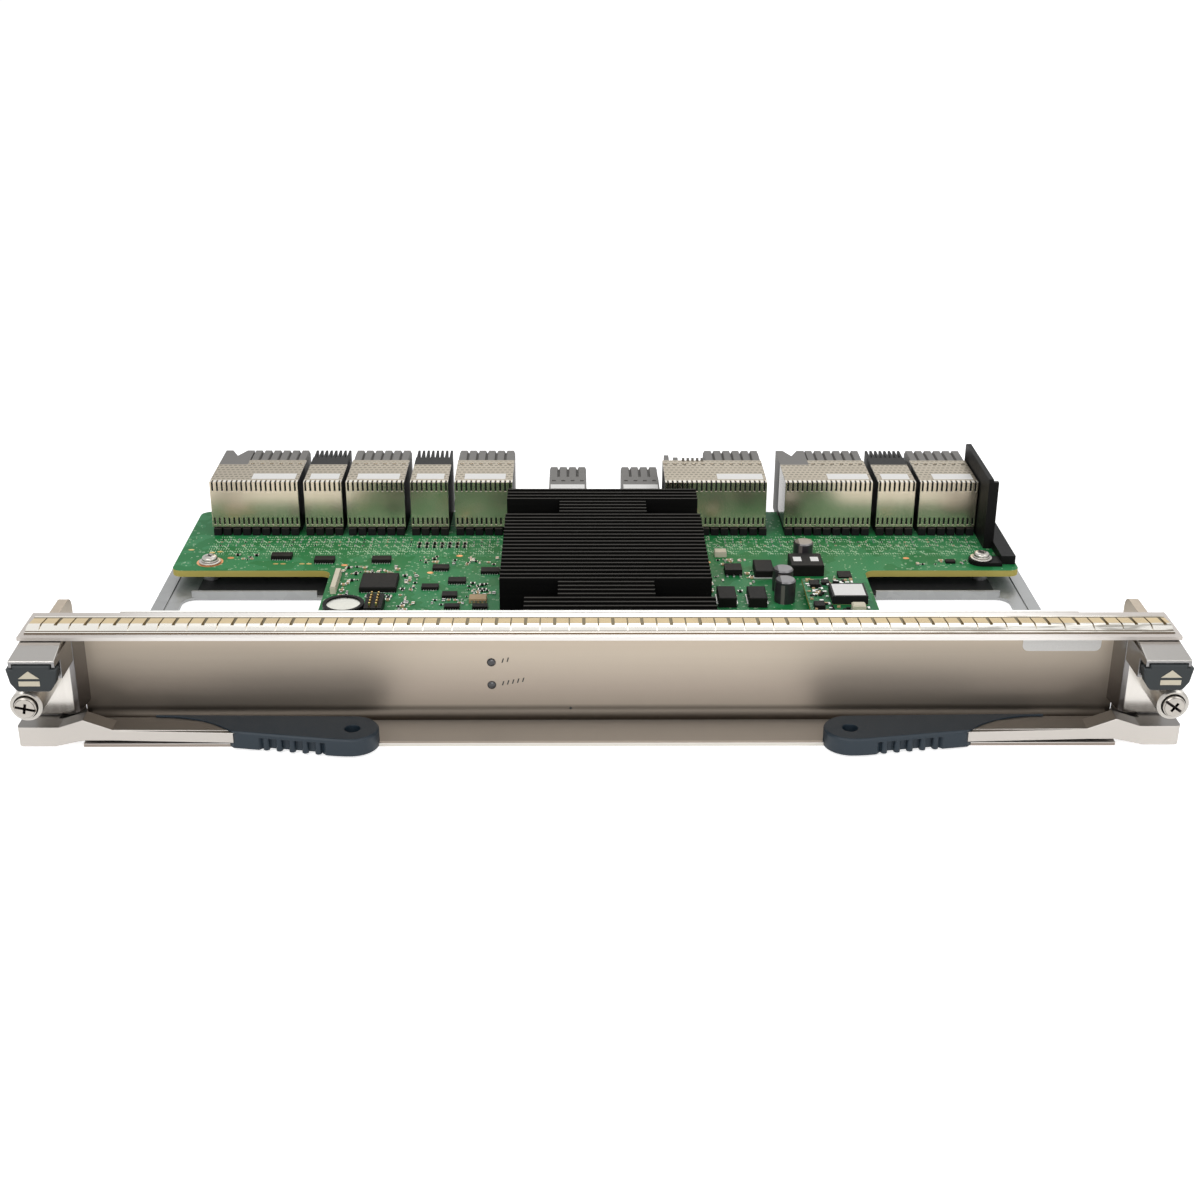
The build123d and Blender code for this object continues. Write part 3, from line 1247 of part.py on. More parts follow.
os.makedirs("parts", exist_ok=True)
save(front_panel(), "front_panel")
save(emi_gasket(), "emi_gasket")
save(carrier_tray(), "carrier_tray")
save(insulator_sheet(), "insulator_sheet")
save(main_board(), "main_board")
save(board_screws(), "board_screws")
save(guide_bracket(), "guide_bracket")
save(heat_sink(), "heat_sink")
save(heat_sink_screws(), "heat_sink_screws")
save(switch_chips(), "switch_chips")
save(board_chips(), "board_chips")
save(pin_header(), "pin_header")
save(coin_cell_holder(), "coin_cell_holder")
save(coin_cell(), "coin_cell")
save(power_capacitors(), "power_capacitors")
save(power_inductors(), "power_inductors")
save(daughter_board(), "daughter_board")
save_connectors()
save_latch()
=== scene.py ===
"""Looks of the switch fabric module: finishes for its solids, and the small parts on them."""
import json
import math
import random

import bmesh
import bpy
from mathutils import Matrix, Vector


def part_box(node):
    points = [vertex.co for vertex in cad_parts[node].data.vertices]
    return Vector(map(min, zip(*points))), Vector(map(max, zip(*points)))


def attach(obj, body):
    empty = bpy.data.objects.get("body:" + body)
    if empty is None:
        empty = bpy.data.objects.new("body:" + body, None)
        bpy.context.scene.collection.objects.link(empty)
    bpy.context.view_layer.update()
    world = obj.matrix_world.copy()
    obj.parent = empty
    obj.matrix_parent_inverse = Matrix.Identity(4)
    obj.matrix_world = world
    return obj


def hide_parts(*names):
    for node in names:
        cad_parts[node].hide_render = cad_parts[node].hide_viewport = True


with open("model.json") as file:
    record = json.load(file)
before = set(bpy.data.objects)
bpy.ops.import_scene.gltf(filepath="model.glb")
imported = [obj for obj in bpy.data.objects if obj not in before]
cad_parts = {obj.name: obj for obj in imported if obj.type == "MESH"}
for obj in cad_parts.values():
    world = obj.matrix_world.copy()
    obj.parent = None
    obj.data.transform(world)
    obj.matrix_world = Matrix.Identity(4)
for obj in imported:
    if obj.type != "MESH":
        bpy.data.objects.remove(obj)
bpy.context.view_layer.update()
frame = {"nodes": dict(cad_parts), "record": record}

MM = 0.001
NOISE_ROUGHNESS = 0.55

# Places on the part, in millimetres with Y from the panel's lip. The lip itself is in metres.
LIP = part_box("front_panel")[0][1]
BOARD_TOP = 8.2
WEB_FRONT = 19.8
PANEL_REAR = 21.0
CONNECTOR_TOP = BOARD_TOP + 23.1
SMALL_CONNECTOR_TOP = BOARD_TOP + 15.6
DAUGHTER_TOP = BOARD_TOP + 2.9 + 1.2
screw_low, screw_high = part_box("captive_screw_right")
SCREW_X = (screw_low[0] + screw_high[0]) / 2 / MM
SCREW_Z = (screw_low[2] + screw_high[2]) / 2 / MM
SCREW_FACE = (screw_low[1] - LIP) / MM
SCREW_FLAT = 3.3
SCREW_CUT = 1.85

# Where one look of the panel and its gasket gives way to another
LIP_FOLD = 1.5
FLANGE_UNDER = 38.5
FLOOR_TOP = 1.4
SILL_TOP = 1.0
WEB_BEND = 16.5
WEB_SPAN = 40
CURVE_END, LEG_START, LEG_END = 7.9, 8.6, 15.3
NOTCH_END, NOTCH_TOP = 15.2, 40.25
GAP_TOP, STRIP_EDGE = 40.3, 3.0
TRAY_WALL_TOP = 38.0

# The same for the board, the connectors and the rest
TRACE_FRONT, TRACE_REAR, TRACE_HALF = 146.0, 167.5, 158.0
DAUGHTER_UNDER, DAUGHTER_OVER = 11.0, 12.36
PLY = 0.55
DASH_ROW, DASH_DEPTH = 5.6, 0.42
DASH_COLUMN, DASH_WIDTH = 2.0, 0.30
DASH_FRONT, DASH_REAR = 173.4, 196.0
COVER_BEND, COVER_FOOT = 172.3, 22.6
FLANGE_SHADOW_EDGE, BLOCK_FRONT = 27.4, 8.0
CREST_LOW, CREST_HIGH = 34.65, 34.79
CAN_STRIPE, SLEEVE_TOP = 11.7, 16.0


# Sums of shader values

class Field:
    """A value that changes over a surface, and takes part in sums."""

    def __init__(self, finish, socket):
        self.finish = finish
        self.socket = socket

    def _with(self, operation, first, second):
        return self.finish.node("ShaderNodeMath", {"operation": operation}, {0: first, 1: second})

    def __add__(self, other):
        return self._with("ADD", self, other)

    __radd__ = __add__

    def __sub__(self, other):
        return self._with("SUBTRACT", self, other)

    def __rsub__(self, other):
        return self._with("SUBTRACT", other, self)

    def __mul__(self, other):
        return self._with("MULTIPLY", self, other)

    def __truediv__(self, other):
        return self._with("DIVIDE", self, other)

    def __gt__(self, other):
        return self._with("GREATER_THAN", self, other)

    def __lt__(self, other):
        return self._with("LESS_THAN", self, other)

    def repeat(self, period):
        """Distance from the nearest multiple of a period, as a share from 0 to 0.5."""
        return self._with("PINGPONG", self / period, 0.5)

    def size(self):
        return self._with("ABSOLUTE", self, 0)

    def highest(self, other):
        return self._with("MAXIMUM", self, other)

    def between(self, low, high):
        """1 between two values, 0 outside."""
        return (self > low) * (self < high)

    def fade(self, low, high):
        """0 at the first value, 1 at the second, smooth between."""
        return self.finish.node("ShaderNodeMapRange", {"interpolation_type": "SMOOTHSTEP"},
                                {"Value": self, "From Min": low, "From Max": high})


class Finish:
    """One procedural material, or the world."""

    def __init__(self, name, kind="materials"):
        self.material = getattr(bpy.data, kind).new(name)
        self.material.use_nodes = True
        self.tree = self.material.node_tree
        self.tree.nodes.clear()

    def node(self, kind, settings=None, sockets=None, output=0):
        made = self.tree.nodes.new(kind)
        for key, value in (settings or {}).items():
            setattr(made, key, value)
        for key, value in (sockets or {}).items():
            if isinstance(value, Field):
                self.tree.links.new(value.socket, made.inputs[key])
            else:
                made.inputs[key].default_value = value
        return Field(self, made.outputs[output]) if made.outputs else None

    def place(self):
        return self.node("ShaderNodeTexCoord", output="Object")

    def millimetres(self):
        """X, Y from the panel's lip, and Z, in millimetres."""
        place = self.place()
        parts = [self.node("ShaderNodeSeparateXYZ", None, {0: place}, axis) for axis in range(3)]
        return parts[0] * 1000, (parts[1] - LIP) * 1000, parts[2] * 1000

    def scaled(self, x, y, z):
        return self.node("ShaderNodeMapping", None, {"Vector": self.place(), "Scale": (x, y, z)})

    def noise(self, scale, detail=3.0, vector=None):
        return self.node("ShaderNodeTexNoise", None,
                         {"Vector": vector or self.place(), "Scale": scale, "Detail": detail,
                          "Roughness": NOISE_ROUGHNESS})

    def cells(self, scale, output="Distance"):
        return self.node("ShaderNodeTexVoronoi", None, {"Vector": self.place(), "Scale": scale},
                         output)

    def mix(self, share, first, second):
        return self.node("ShaderNodeMix", {"data_type": "RGBA"}, {0: share, 6: first, 7: second}, 2)

    def ramp(self, value, *stops):
        made = self.node("ShaderNodeValToRGB", None, {0: value})
        band = made.socket.node.color_ramp
        while len(band.elements) < len(stops):
            band.elements.new(0.5)
        for element, (place, colour) in zip(band.elements, stops):
            element.position = place
            element.color = colour
        return made

    def facing(self, axis):
        """How far the surface faces along an axis of the object, from -1 to 1."""
        normal = self.node("ShaderNodeNewGeometry", output="True Normal")
        turned = self.node("ShaderNodeVectorTransform",
                           {"vector_type": "NORMAL", "convert_from": "WORLD",
                            "convert_to": "OBJECT"}, {0: normal})
        return self.node("ShaderNodeSeparateXYZ", None, {0: turned}, axis)

    def looked_at(self):
        """1 where the camera, a mirror or glass sees the surface, 0 where only its light counts."""
        rays = [self.node("ShaderNodeLightPath", output=kind)
                for kind in ("Is Camera Ray", "Is Glossy Ray", "Is Transmission Ray")]
        return rays[0].highest(rays[1]).highest(rays[2])

    def bump(self, height, depth, strength=1.0, under=None):
        sockets = {"Height": height, "Distance": depth * MM, "Strength": strength}
        if under is not None:
            sockets["Normal"] = under
        return self.node("ShaderNodeBump", None, sockets)

    def round_edges(self, radius):
        return self.node("ShaderNodeBevel", {"samples": 4}, {"Radius": radius * MM})

    def surface(self, colour, rough, metal=0.0, normal=None, coat=0.0, specular=0.5):
        sockets = {"Base Color": colour, "Roughness": rough, "Metallic": metal,
                   "Coat Weight": coat, "Specular IOR Level": specular}
        if normal is not None:
            sockets["Normal"] = normal
        shader = self.node("ShaderNodeBsdfPrincipled", None, sockets)
        self.node("ShaderNodeOutputMaterial", None, {"Surface": shader})
        return self.material


def tone(red, green, blue):
    return (red, green, blue, 1.0)


# Finishes

def panel_nickel():
    """Satin nickel-plated sheet, drawn along its length, with painted shade low on its web and
    towards its sides, and darker at the ends of its top flange.
    """
    f = Finish("panel_nickel")
    x, y, z = f.millimetres()
    grain = f.noise(1.0, 4, f.scaled(18, 1100, 1100))
    cloud = f.noise(9.0, 2)
    inside = (y > LIP_FOLD) * (z < FLANGE_UNDER)
    # Painted shade: the web darkens towards its foot and is near black at its lower bend.
    web = f.ramp(z / WEB_SPAN,
                 (0.03, tone(0.075, 0.062, 0.050)), (0.10, tone(0.11, 0.094, 0.078)),
                 (0.14, tone(0.31, 0.268, 0.225)), (0.30, tone(0.365, 0.312, 0.262)),
                 (0.60, tone(0.45, 0.39, 0.32)), (0.95, tone(0.49, 0.41, 0.325)))
    # Painted shade on the web's sides, in a band halfway up.
    web_side_shade = z.fade(8.0, 16.0) * (1 - z.fade(24.0, 34.0))
    web = f.mix(x.size().fade(40.0, 130.0) * web_side_shade * 0.20, web, tone(0.0, 0.0, 0.0))
    # Painted shade on the lower flange's top and front edge, deepening towards the sides under the
    # levers.
    shade = x.size().fade(60.0, 135.0)
    shelf = f.mix(shade, tone(0.45, 0.435, 0.415), tone(0.20, 0.19, 0.185))
    deep = f.mix((z < FLOOR_TOP) * (y < WEB_BEND), web, shelf)
    lit = f.mix(cloud, tone(0.62, 0.595, 0.57), tone(0.70, 0.675, 0.65))
    lit = f.mix(x.size().fade(135.0, 175.0), lit, tone(0.48, 0.445, 0.415))
    sill = (z < SILL_TOP) * (f.facing(1) < -0.5)
    rim = f.mix(shade, tone(0.56, 0.54, 0.49), tone(0.27, 0.23, 0.20))
    colour = f.mix(inside, f.mix(sill, lit, rim), deep)
    return f.surface(colour, 0.40 + grain * 0.10, 1.0, f.bump(grain, 0.02, 0.35))


def gasket_bright():
    """Sprung plated strip: brassy rear leg, painted highlight on the front curve, painted shade in
    the notches, painted shadow in the gap under the front.
    """
    f = Finish("gasket_bright")
    x, y, z = f.millimetres()
    wear = f.noise(120.0, 3)
    rear = y.fade(CURVE_END, LEG_START) * (y < LEG_END)
    brass = f.mix(wear, tone(0.49, 0.355, 0.17), tone(0.68, 0.525, 0.27))
    # Painted highlight on the front curve, dimmed by painted dark reflections towards the right
    # end.
    streak = f.noise(1.0, 3, f.scaled(70, 700, 900)).fade(0.42, 0.56)
    dark_reflection = (1 - streak) * x.fade(70.0, 150.0)
    curve = f.mix(dark_reflection, tone(0.80, 0.775, 0.72), tone(0.40, 0.38, 0.34))
    colour = f.mix(rear, curve, brass)
    # Painted shade down in the notches of the rear leg.
    notch = (y > LEG_START) * (y < NOTCH_END) * (z < NOTCH_TOP)
    colour = f.mix(notch, colour, tone(0.10, 0.075, 0.03))
    # Painted shadow in the gap under the front of the strip.
    gap = y.between(3.7, 4.45) + (y < STRIP_EDGE)
    colour = f.mix(gap * (z < GAP_TOP), colour, tone(0.13, 0.09, 0.055))
    return f.surface(colour, 0.20 + wear * 0.16, 1.0, f.bump(wear, 0.03, 0.3))


def tray_zinc():
    """Pale zinc-plated sheet with a faint spangle, and a painted highlight along the top of its
    front wall.
    """
    f = Finish("tray_zinc")
    spangle = f.cells(260.0, "Color")
    grey = f.node("ShaderNodeSeparateColor", None, {0: spangle})
    colour = f.mix(grey * 0.35, tone(0.29, 0.295, 0.295), tone(0.42, 0.425, 0.425))
    z = f.millimetres()[2]
    # Painted highlight along the top of the front wall.
    colour = f.mix(z > TRAY_WALL_TOP, colour, tone(0.86, 0.85, 0.82))
    return f.surface(colour, 0.34 + grey * 0.12, 0.85, f.bump(f.noise(900.0), 0.01, 0.3))


def film_black():
    """Black insulating film with a fine grain."""
    f = Finish("film_black")
    grain = f.noise(600.0)
    return f.surface(f.mix(grain, tone(0.008, 0.008, 0.009), tone(0.02, 0.02, 0.02)), 0.42, 0.0,
                     f.bump(grain, 0.02, 0.3))


def board_mask(name, light, dark, floor=0.0, ceiling=99.0):
    """Solder mask over traces, with vias, and bare laminate on the edges.

    What lies below the floor or above the ceiling is black plastic.
    """
    f = Finish(name)
    x, y, z = f.millimetres()
    cloud = f.noise(14.0, 2)
    green = f.mix(cloud, dark, light)
    patch = f.noise(60.0, 2)
    lanes = f.node("ShaderNodeTexBrick", {"offset": 0.5, "squash": 1.0},
                   {"Vector": f.place(), "Scale": 420.0, "Mortar Size": 0.06, "Bias": 0.0}, "Fac")
    lanes = lanes * (patch > 0.50)
    green = f.mix(lanes * 0.35, green, tone(0.10, 0.42, 0.20))
    field = y.between(TRACE_FRONT, TRACE_REAR) * (x.size() < TRACE_HALF)
    ticks = (x.repeat(1.0) < 0.19) * (y.repeat(2.6) < 0.22)
    slants = ((x + y * 0.7).repeat(3.9) < 0.07) * (y.repeat(6.0) < 0.34)
    fan = (ticks + slants) * field * (f.noise(260.0, 1) > 0.47)
    green = f.mix(fan * 0.85, green, tone(0.50, 0.70, 0.48))
    rings = f.cells(330.0).between(0.10, 0.22) * (f.noise(45.0, 1) > 0.47)
    green = f.mix(rings * 0.55, green, tone(0.44, 0.62, 0.42))
    vias = (f.cells(430.0) < 0.16) * (patch > 0.46)
    green = f.mix(vias * 0.6, green, tone(0.55, 0.74, 0.50))
    pads = (f.cells(150.0) < 0.07) * (f.noise(30.0, 1) > 0.52)
    green = f.mix(pads * 0.8, green, tone(0.74, 0.72, 0.62))
    side = f.facing(2).size() < 0.5
    ply = z.repeat(PLY) * 2
    edge = f.mix(ply * f.noise(25.0, 2), tone(0.38, 0.31, 0.065), tone(0.74, 0.68, 0.24))
    colour = f.mix(side, green, edge)
    other = (z < floor).highest(z > ceiling)
    colour = f.mix(other, colour, tone(0.012, 0.012, 0.012))
    height = lanes * 0.5 + vias * 0.3 + pads
    return f.surface(colour, 0.45 + side * 0.20, 0.0, f.bump(height, 0.03, 0.4), 0.0, 0.12)


def stiffener_steel():
    """Plain sheet over each connector, with rows of punched dashes on its top, a painted highlight
    on its bend and painted shade on its left-facing sides.
    """
    f = Finish("stiffener_steel")
    x, y, z = f.millimetres()

    def dash_rows(along, across):
        in_row = along.repeat(DASH_ROW) * DASH_ROW < DASH_DEPTH
        return in_row * (across.repeat(DASH_COLUMN) < DASH_WIDTH)

    grain = f.noise(1.0, 3, f.scaled(500, 500, 60))
    top = f.facing(2) > 0.5
    staggered = dash_rows(y + DASH_ROW / 2, x + DASH_COLUMN / 2)
    dashes = (dash_rows(y, x) + staggered) * y.between(DASH_FRONT, DASH_REAR)
    # Painted highlight along the top of the front, where the sheet folds over.
    bend = (y < COVER_BEND) * (z > COVER_FOOT)
    front = f.mix(grain, tone(0.58, 0.50, 0.38), tone(0.68, 0.59, 0.46))
    # Painted shade on the sides that face left, in the gaps between connectors.
    front = f.mix(f.facing(0) < -0.5, front, tone(0.15, 0.137, 0.118))
    cover = f.mix(f.noise(90.0), tone(0.29, 0.255, 0.195), tone(0.38, 0.335, 0.265))
    cover = f.mix(dashes * 0.85, cover, tone(0.07, 0.06, 0.04))
    cover = f.mix(bend, cover, tone(0.58, 0.555, 0.50))
    rough = f.mix(top, tone(0.23, 0.23, 0.23), tone(0.42, 0.42, 0.42))
    return f.surface(f.mix(top, front, cover), rough, 0.95,
                     f.bump(grain - dashes * 2.0, 0.04, 0.3, f.round_edges(0.35)))


def moulded(name, dark, light, rough=0.5, grain=700.0, depth=0.03, coat=0.0, edge=0.0, shine=0.28):
    """Moulded plastic with a fine grain."""
    f = Finish(name)
    speck = f.noise(grain, 3)
    cloud = f.noise(25.0, 2)
    under = f.round_edges(edge) if edge else None
    colour = f.mix(cloud * 0.5 + speck * 0.5, dark, light)
    return f.surface(colour, rough + speck * 0.12, 0.0, f.bump(speck, depth, 0.4, under), coat,
                     shine)


def lever_cast():
    """Satin casting, with painted shade on the arm's top faces, and tan on the horn behind the
    panel.
    """
    f = Finish("lever_cast")
    y = f.millimetres()[1]
    speck = f.noise(420.0, 4)
    arm = f.mix(f.noise(8.0, 2), tone(0.46, 0.43, 0.40), tone(0.54, 0.51, 0.475))
    # Painted shade on the arm's top faces.
    arm = f.mix(f.facing(2) > 0.5, arm, tone(0.20, 0.19, 0.18))
    horn = f.mix(speck, tone(0.38, 0.32, 0.25), tone(0.52, 0.44, 0.35))
    return f.surface(f.mix(y > PANEL_REAR, arm, horn), 0.30 + speck * 0.10, 1.0,
                     f.bump(speck, 0.04, 0.35, f.round_edges(0.4)))


def latch_polish():
    """Polished housing: lighter hood top, flank in painted shade that darkens upwards, and a lit
    ground face low on the block, in painted shadow of the flange above.
    """
    f = Finish("latch_polish")
    _, y, z = f.millimetres()
    lines = f.noise(1.0, 3, f.scaled(700, 60, 30))
    # The front face is bright only below the edge of the flange's painted shadow.
    front = (f.facing(1) < -0.85) * (z < FLANGE_SHADOW_EDGE) * (y > BLOCK_FRONT)
    lid = f.facing(2) > 0.3
    # Painted shade on the flank, darker towards the flange, with a lighter hood top.
    flank = f.mix(z.fade(8.0, 34.0), tone(0.34, 0.32, 0.31), tone(0.25, 0.245, 0.245))
    colour = f.mix(lid, flank, tone(0.41, 0.395, 0.375))
    ground = f.mix(lines, tone(0.58, 0.55, 0.51), tone(0.74, 0.71, 0.67))
    return f.surface(f.mix(front, colour, ground), 0.16 + lines * 0.14, 1.0,
                     f.bump(lines, 0.02, 0.3, f.round_edges(0.5)))


def sink_black():
    """Black anodised fins, with a painted highlight along their top edges."""
    f = Finish("sink_black")
    z = f.millimetres()[2]
    streak = f.noise(1.0, 3, f.scaled(30, 900, 900))
    # Painted highlight along the fins' top edges.
    crest_highlight = z.fade(CREST_LOW, CREST_HIGH)
    black = f.mix(streak, tone(0.002, 0.002, 0.002), tone(0.006, 0.0057, 0.0053))
    colour = f.mix(crest_highlight * 0.30, black, tone(0.09, 0.08, 0.065))
    return f.surface(colour, 0.44 + streak * 0.12, 0.0, f.bump(streak, 0.02, 0.3), 0.0, 0.06)


def can_top():
    """Electrolytic cans: black sleeve, bare top with a dark segment."""
    f = Finish("can_top")
    x, _, z = f.millimetres()
    top = f.facing(2) > 0.4
    sleeve = f.mix(f.noise(70.0), tone(0.015, 0.014, 0.016), tone(0.05, 0.045, 0.05))
    stripe = (x.repeat(CAN_STRIPE) < 0.06) * (z < SLEEVE_TOP)
    sleeve = f.mix(stripe * 0.5, sleeve, tone(0.30, 0.26, 0.24))
    bare = f.mix(f.noise(300.0), tone(0.13, 0.128, 0.13), tone(0.19, 0.185, 0.19))
    segment = x.between(79.0, 81.6) + x.between(67.0, 69.7)
    bare = f.mix(segment, bare, tone(0.02, 0.02, 0.02))
    return f.surface(f.mix(top, sleeve, bare), 0.30, top * 0.85, f.bump(f.noise(400.0), 0.02, 0.3))


def plain_metal(name, dark, light, rough=0.25):
    """Bare or plated metal with a fine grain."""
    f = Finish(name)
    speck = f.noise(500.0, 3)
    return f.surface(f.mix(speck, dark, light), rough + speck * 0.12, 1.0, f.bump(speck, 0.02, 0.3))


def captive_bright():
    """Bright screw, with painted shade down in its slot and cross."""
    f = Finish("captive_bright")
    x, y, z = f.millimetres()
    speck = f.noise(500.0, 3)
    across = x.size() - SCREW_X
    rise = z - SCREW_Z
    inside = across * across + rise * rise < SCREW_FLAT * SCREW_FLAT
    # Painted shade on the faces inside the slot and cross.
    slot_shade = y.between(SCREW_FACE + 0.05, SCREW_FACE + SCREW_CUT) * inside
    bright = f.mix(speck, tone(0.36, 0.335, 0.30), tone(0.50, 0.47, 0.43))
    colour = f.mix(slot_shade, bright, tone(0.03, 0.025, 0.025))
    return f.surface(colour, 0.26 + speck * 0.12, 1.0, f.bump(speck, 0.02, 0.3))


def blank_label():
    """Plain pale sticker."""
    f = Finish("blank_label")
    fibre = f.noise(1500.0, 2)
    return f.surface(f.mix(fibre, tone(0.74, 0.73, 0.71), tone(0.84, 0.83, 0.81)), 0.55, 0.0,
                     f.bump(fibre, 0.01, 0.3))


def pad_copper():
    """Bare copper."""
    f = Finish("pad_copper")
    speck = f.noise(900.0, 2)
    return f.surface(f.mix(speck, tone(0.66, 0.26, 0.10), tone(0.80, 0.42, 0.20)), 0.35, 0.9,
                     f.bump(speck, 0.02, 0.3))


paint = {
    "panel": panel_nickel(),
    "gasket": gasket_bright(),
    "tray": tray_zinc(),
    "film": film_black(),
    "board": board_mask("board_mask", tone(0.016, 0.215, 0.058), tone(0.009, 0.150, 0.040)),
    "daughter": board_mask("daughter_mask", tone(0.02, 0.17, 0.06), tone(0.010, 0.11, 0.038),
                           DAUGHTER_UNDER, DAUGHTER_OVER),
    "stiffener": stiffener_steel(),
    "wafer": moulded("wafer_black", tone(0.005, 0.005, 0.005), tone(0.016, 0.016, 0.017), 0.45,
                     shine=0.12),
    "power": moulded("power_black", tone(0.006, 0.006, 0.006), tone(0.018, 0.017, 0.016), 0.45,
                     shine=0.12),
    "housing": moulded("housing_grey", tone(0.135, 0.130, 0.122), tone(0.21, 0.20, 0.188)),
    "bracket": moulded("bracket_black", tone(0.004, 0.004, 0.004), tone(0.012, 0.0115, 0.011), 0.42,
                       shine=0.08),
    "chip": moulded("chip_black", tone(0.006, 0.0055, 0.005), tone(0.015, 0.014, 0.013),
                    shine=0.10),
    "header": moulded("header_black", tone(0.004, 0.004, 0.004), tone(0.012, 0.012, 0.012), 0.45,
                      shine=0.08),
    "grip": moulded("grip_slate", tone(0.007, 0.015, 0.024), tone(0.013, 0.025, 0.037), 0.42,
                    grain=1400.0, depth=0.04, edge=0.5, shine=0.42),
    "button": moulded("button_slate", tone(0.013, 0.017, 0.019), tone(0.026, 0.031, 0.033), 0.42,
                      grain=1400.0, edge=0.4, shine=0.36),
    "lever": lever_cast(),
    "latch": latch_polish(),
    "screw": plain_metal("screw_bright", tone(0.38, 0.36, 0.33), tone(0.54, 0.515, 0.475), 0.24),
    "captive": captive_bright(),
    "spring": plain_metal("spring_wire", tone(0.42, 0.42, 0.42), tone(0.58, 0.58, 0.58)),
    "sink": sink_black(),
    "dark": plain_metal("dark_metal", tone(0.02, 0.02, 0.02), tone(0.05, 0.05, 0.05), 0.4),
    "cell": plain_metal("cell_steel", tone(0.46, 0.46, 0.42), tone(0.62, 0.62, 0.56), 0.30),
    "can": can_top(),
    "tin": plain_metal("solder_tin", tone(0.50, 0.50, 0.48), tone(0.70, 0.70, 0.68)),
    "gold": plain_metal("pin_gold", tone(0.62, 0.42, 0.14), tone(0.78, 0.56, 0.22)),
    "copper": pad_copper(),
    "label": blank_label(),
    "tan": moulded("body_tan", tone(0.42, 0.28, 0.14), tone(0.60, 0.44, 0.26)),
    "cream": moulded("socket_cream", tone(0.62, 0.56, 0.42), tone(0.76, 0.70, 0.56)),
    "symbol": moulded("symbol_beige", tone(0.52, 0.47, 0.36), tone(0.62, 0.57, 0.46)),
    "print": moulded("print_dark", tone(0.03, 0.03, 0.03), tone(0.06, 0.06, 0.06)),
    "lens": moulded("lens_smoke", tone(0.010, 0.010, 0.012), tone(0.03, 0.03, 0.035), 0.15,
                    grain=300.0, depth=0.01, coat=0.6, shine=0.5),
}

SLOT_PAINT = {
    "panel_metal": "panel", "gasket_metal": "gasket", "tray_metal": "tray", "black_film": "film",
    "board_green": "board", "daughter_green": "daughter", "screw_metal": "screw",
    "spring_steel": "spring", "sink_black": "sink", "dark_metal": "dark",
    "bracket_black": "bracket", "chip_black": "chip", "header_black": "header",
    "cell_metal": "cell", "capacitor_metal": "can", "stiffener_metal": "stiffener",
    "wafer_black": "wafer", "housing_grey": "housing", "power_black": "power",
    "latch_metal": "latch", "lever_metal": "lever", "grip_plastic": "grip",
    "button_plastic": "button",
}

for part in frame["record"]["subparts"]:
    node = frame["nodes"][part["node"]]
    for place in node.material_slots:
        place.material = paint[SLOT_PAINT[part["material_slot"]]]
for side in ("left", "right"):
    frame["nodes"][f"captive_screw_{side}"].material_slots[0].material = paint["captive"]


# Mesh pieces

class Form:
    """Faces of one piece, in millimetres, with Y from the panel's lip."""

    def __init__(self):
        self.mesh = bmesh.new()

    def ring(self, points):
        return [self.mesh.verts.new((x * MM, y * MM + LIP, z * MM)) for x, y, z in points]

    def skin(self, rings, colour, smooth=False):
        """Faces from ring to ring, closed at both ends."""
        for low, high in zip(rings, rings[1:]):
            for index in range(len(low)):
                after = (index + 1) % len(low)
                made = self.mesh.faces.new((low[index], low[after], high[after], high[index]))
                made.material_index = colour
                made.smooth = smooth
        for end in (rings[0][::-1], rings[-1]):
            made = self.mesh.faces.new(end)
            made.material_index = colour

    def block(self, x, y, z, colour=0, ease=0.12):
        """A box whose upper edges are eased."""
        def loop(inset, height):
            left, right = x[0] + inset, x[1] - inset
            front, rear = y[0] + inset, y[1] - inset
            return self.ring([(left, front, height), (right, front, height),
                              (right, rear, height), (left, rear, height)])
        self.skin([loop(0, z[0]), loop(0, z[1] - ease), loop(ease, z[1])], colour)

    def turned(self, centre, axis, profile, colour, steps):
        """A shape turned round an axis: pairs of radius and distance along it."""
        cx, cy, cz = centre
        rings = []
        for radius, along in profile:
            points = []
            for step in range(steps):
                angle = 2 * math.pi * step / steps
                a, b = radius * math.cos(angle), radius * math.sin(angle)
                if axis == "Z":
                    points.append((cx + a, cy + b, cz + along))
                else:
                    points.append((cx + a, cy + along, cz - b))
            rings.append(self.ring(points))
        self.skin(rings, colour, smooth=True)

    def prism(self, outline, axis, span, colour=0):
        """An outline of (a, b) pairs, drawn along Y or Z between two values."""
        rings = []
        for along in span:
            if axis == "Z":
                rings.append(self.ring([(a, b, along) for a, b in outline]))
            else:
                rings.append(self.ring([(a, along, b) for a, b in outline]))
        self.skin(rings, colour)

    def made(self, name, body, finishes, slot, stands_for=()):
        """The finished object, which moves with its body."""
        bmesh.ops.recalc_face_normals(self.mesh, faces=self.mesh.faces)
        data = bpy.data.meshes.new(name)
        self.mesh.to_mesh(data)
        self.mesh.free()
        piece = bpy.data.objects.new(name, data)
        bpy.context.scene.collection.objects.link(piece)
        for finish in finishes:
            data.materials.append(paint[finish])
        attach(piece, body)
        if stands_for:
            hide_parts(*stands_for)
        return piece


def on_board(height):
    """From the board's top up to a height above it."""
    return BOARD_TOP, BOARD_TOP + height


# What stands on the board

LEG_PITCH, LEG_HALF, LEG_LENGTH, LEG_HEIGHT = 0.95, 0.22, 1.0, 0.35
FINE_PITCH, FINE_WIDTH, FINE_LENGTH, FINE_HEIGHT = 0.6, 0.25, 0.8, 0.3

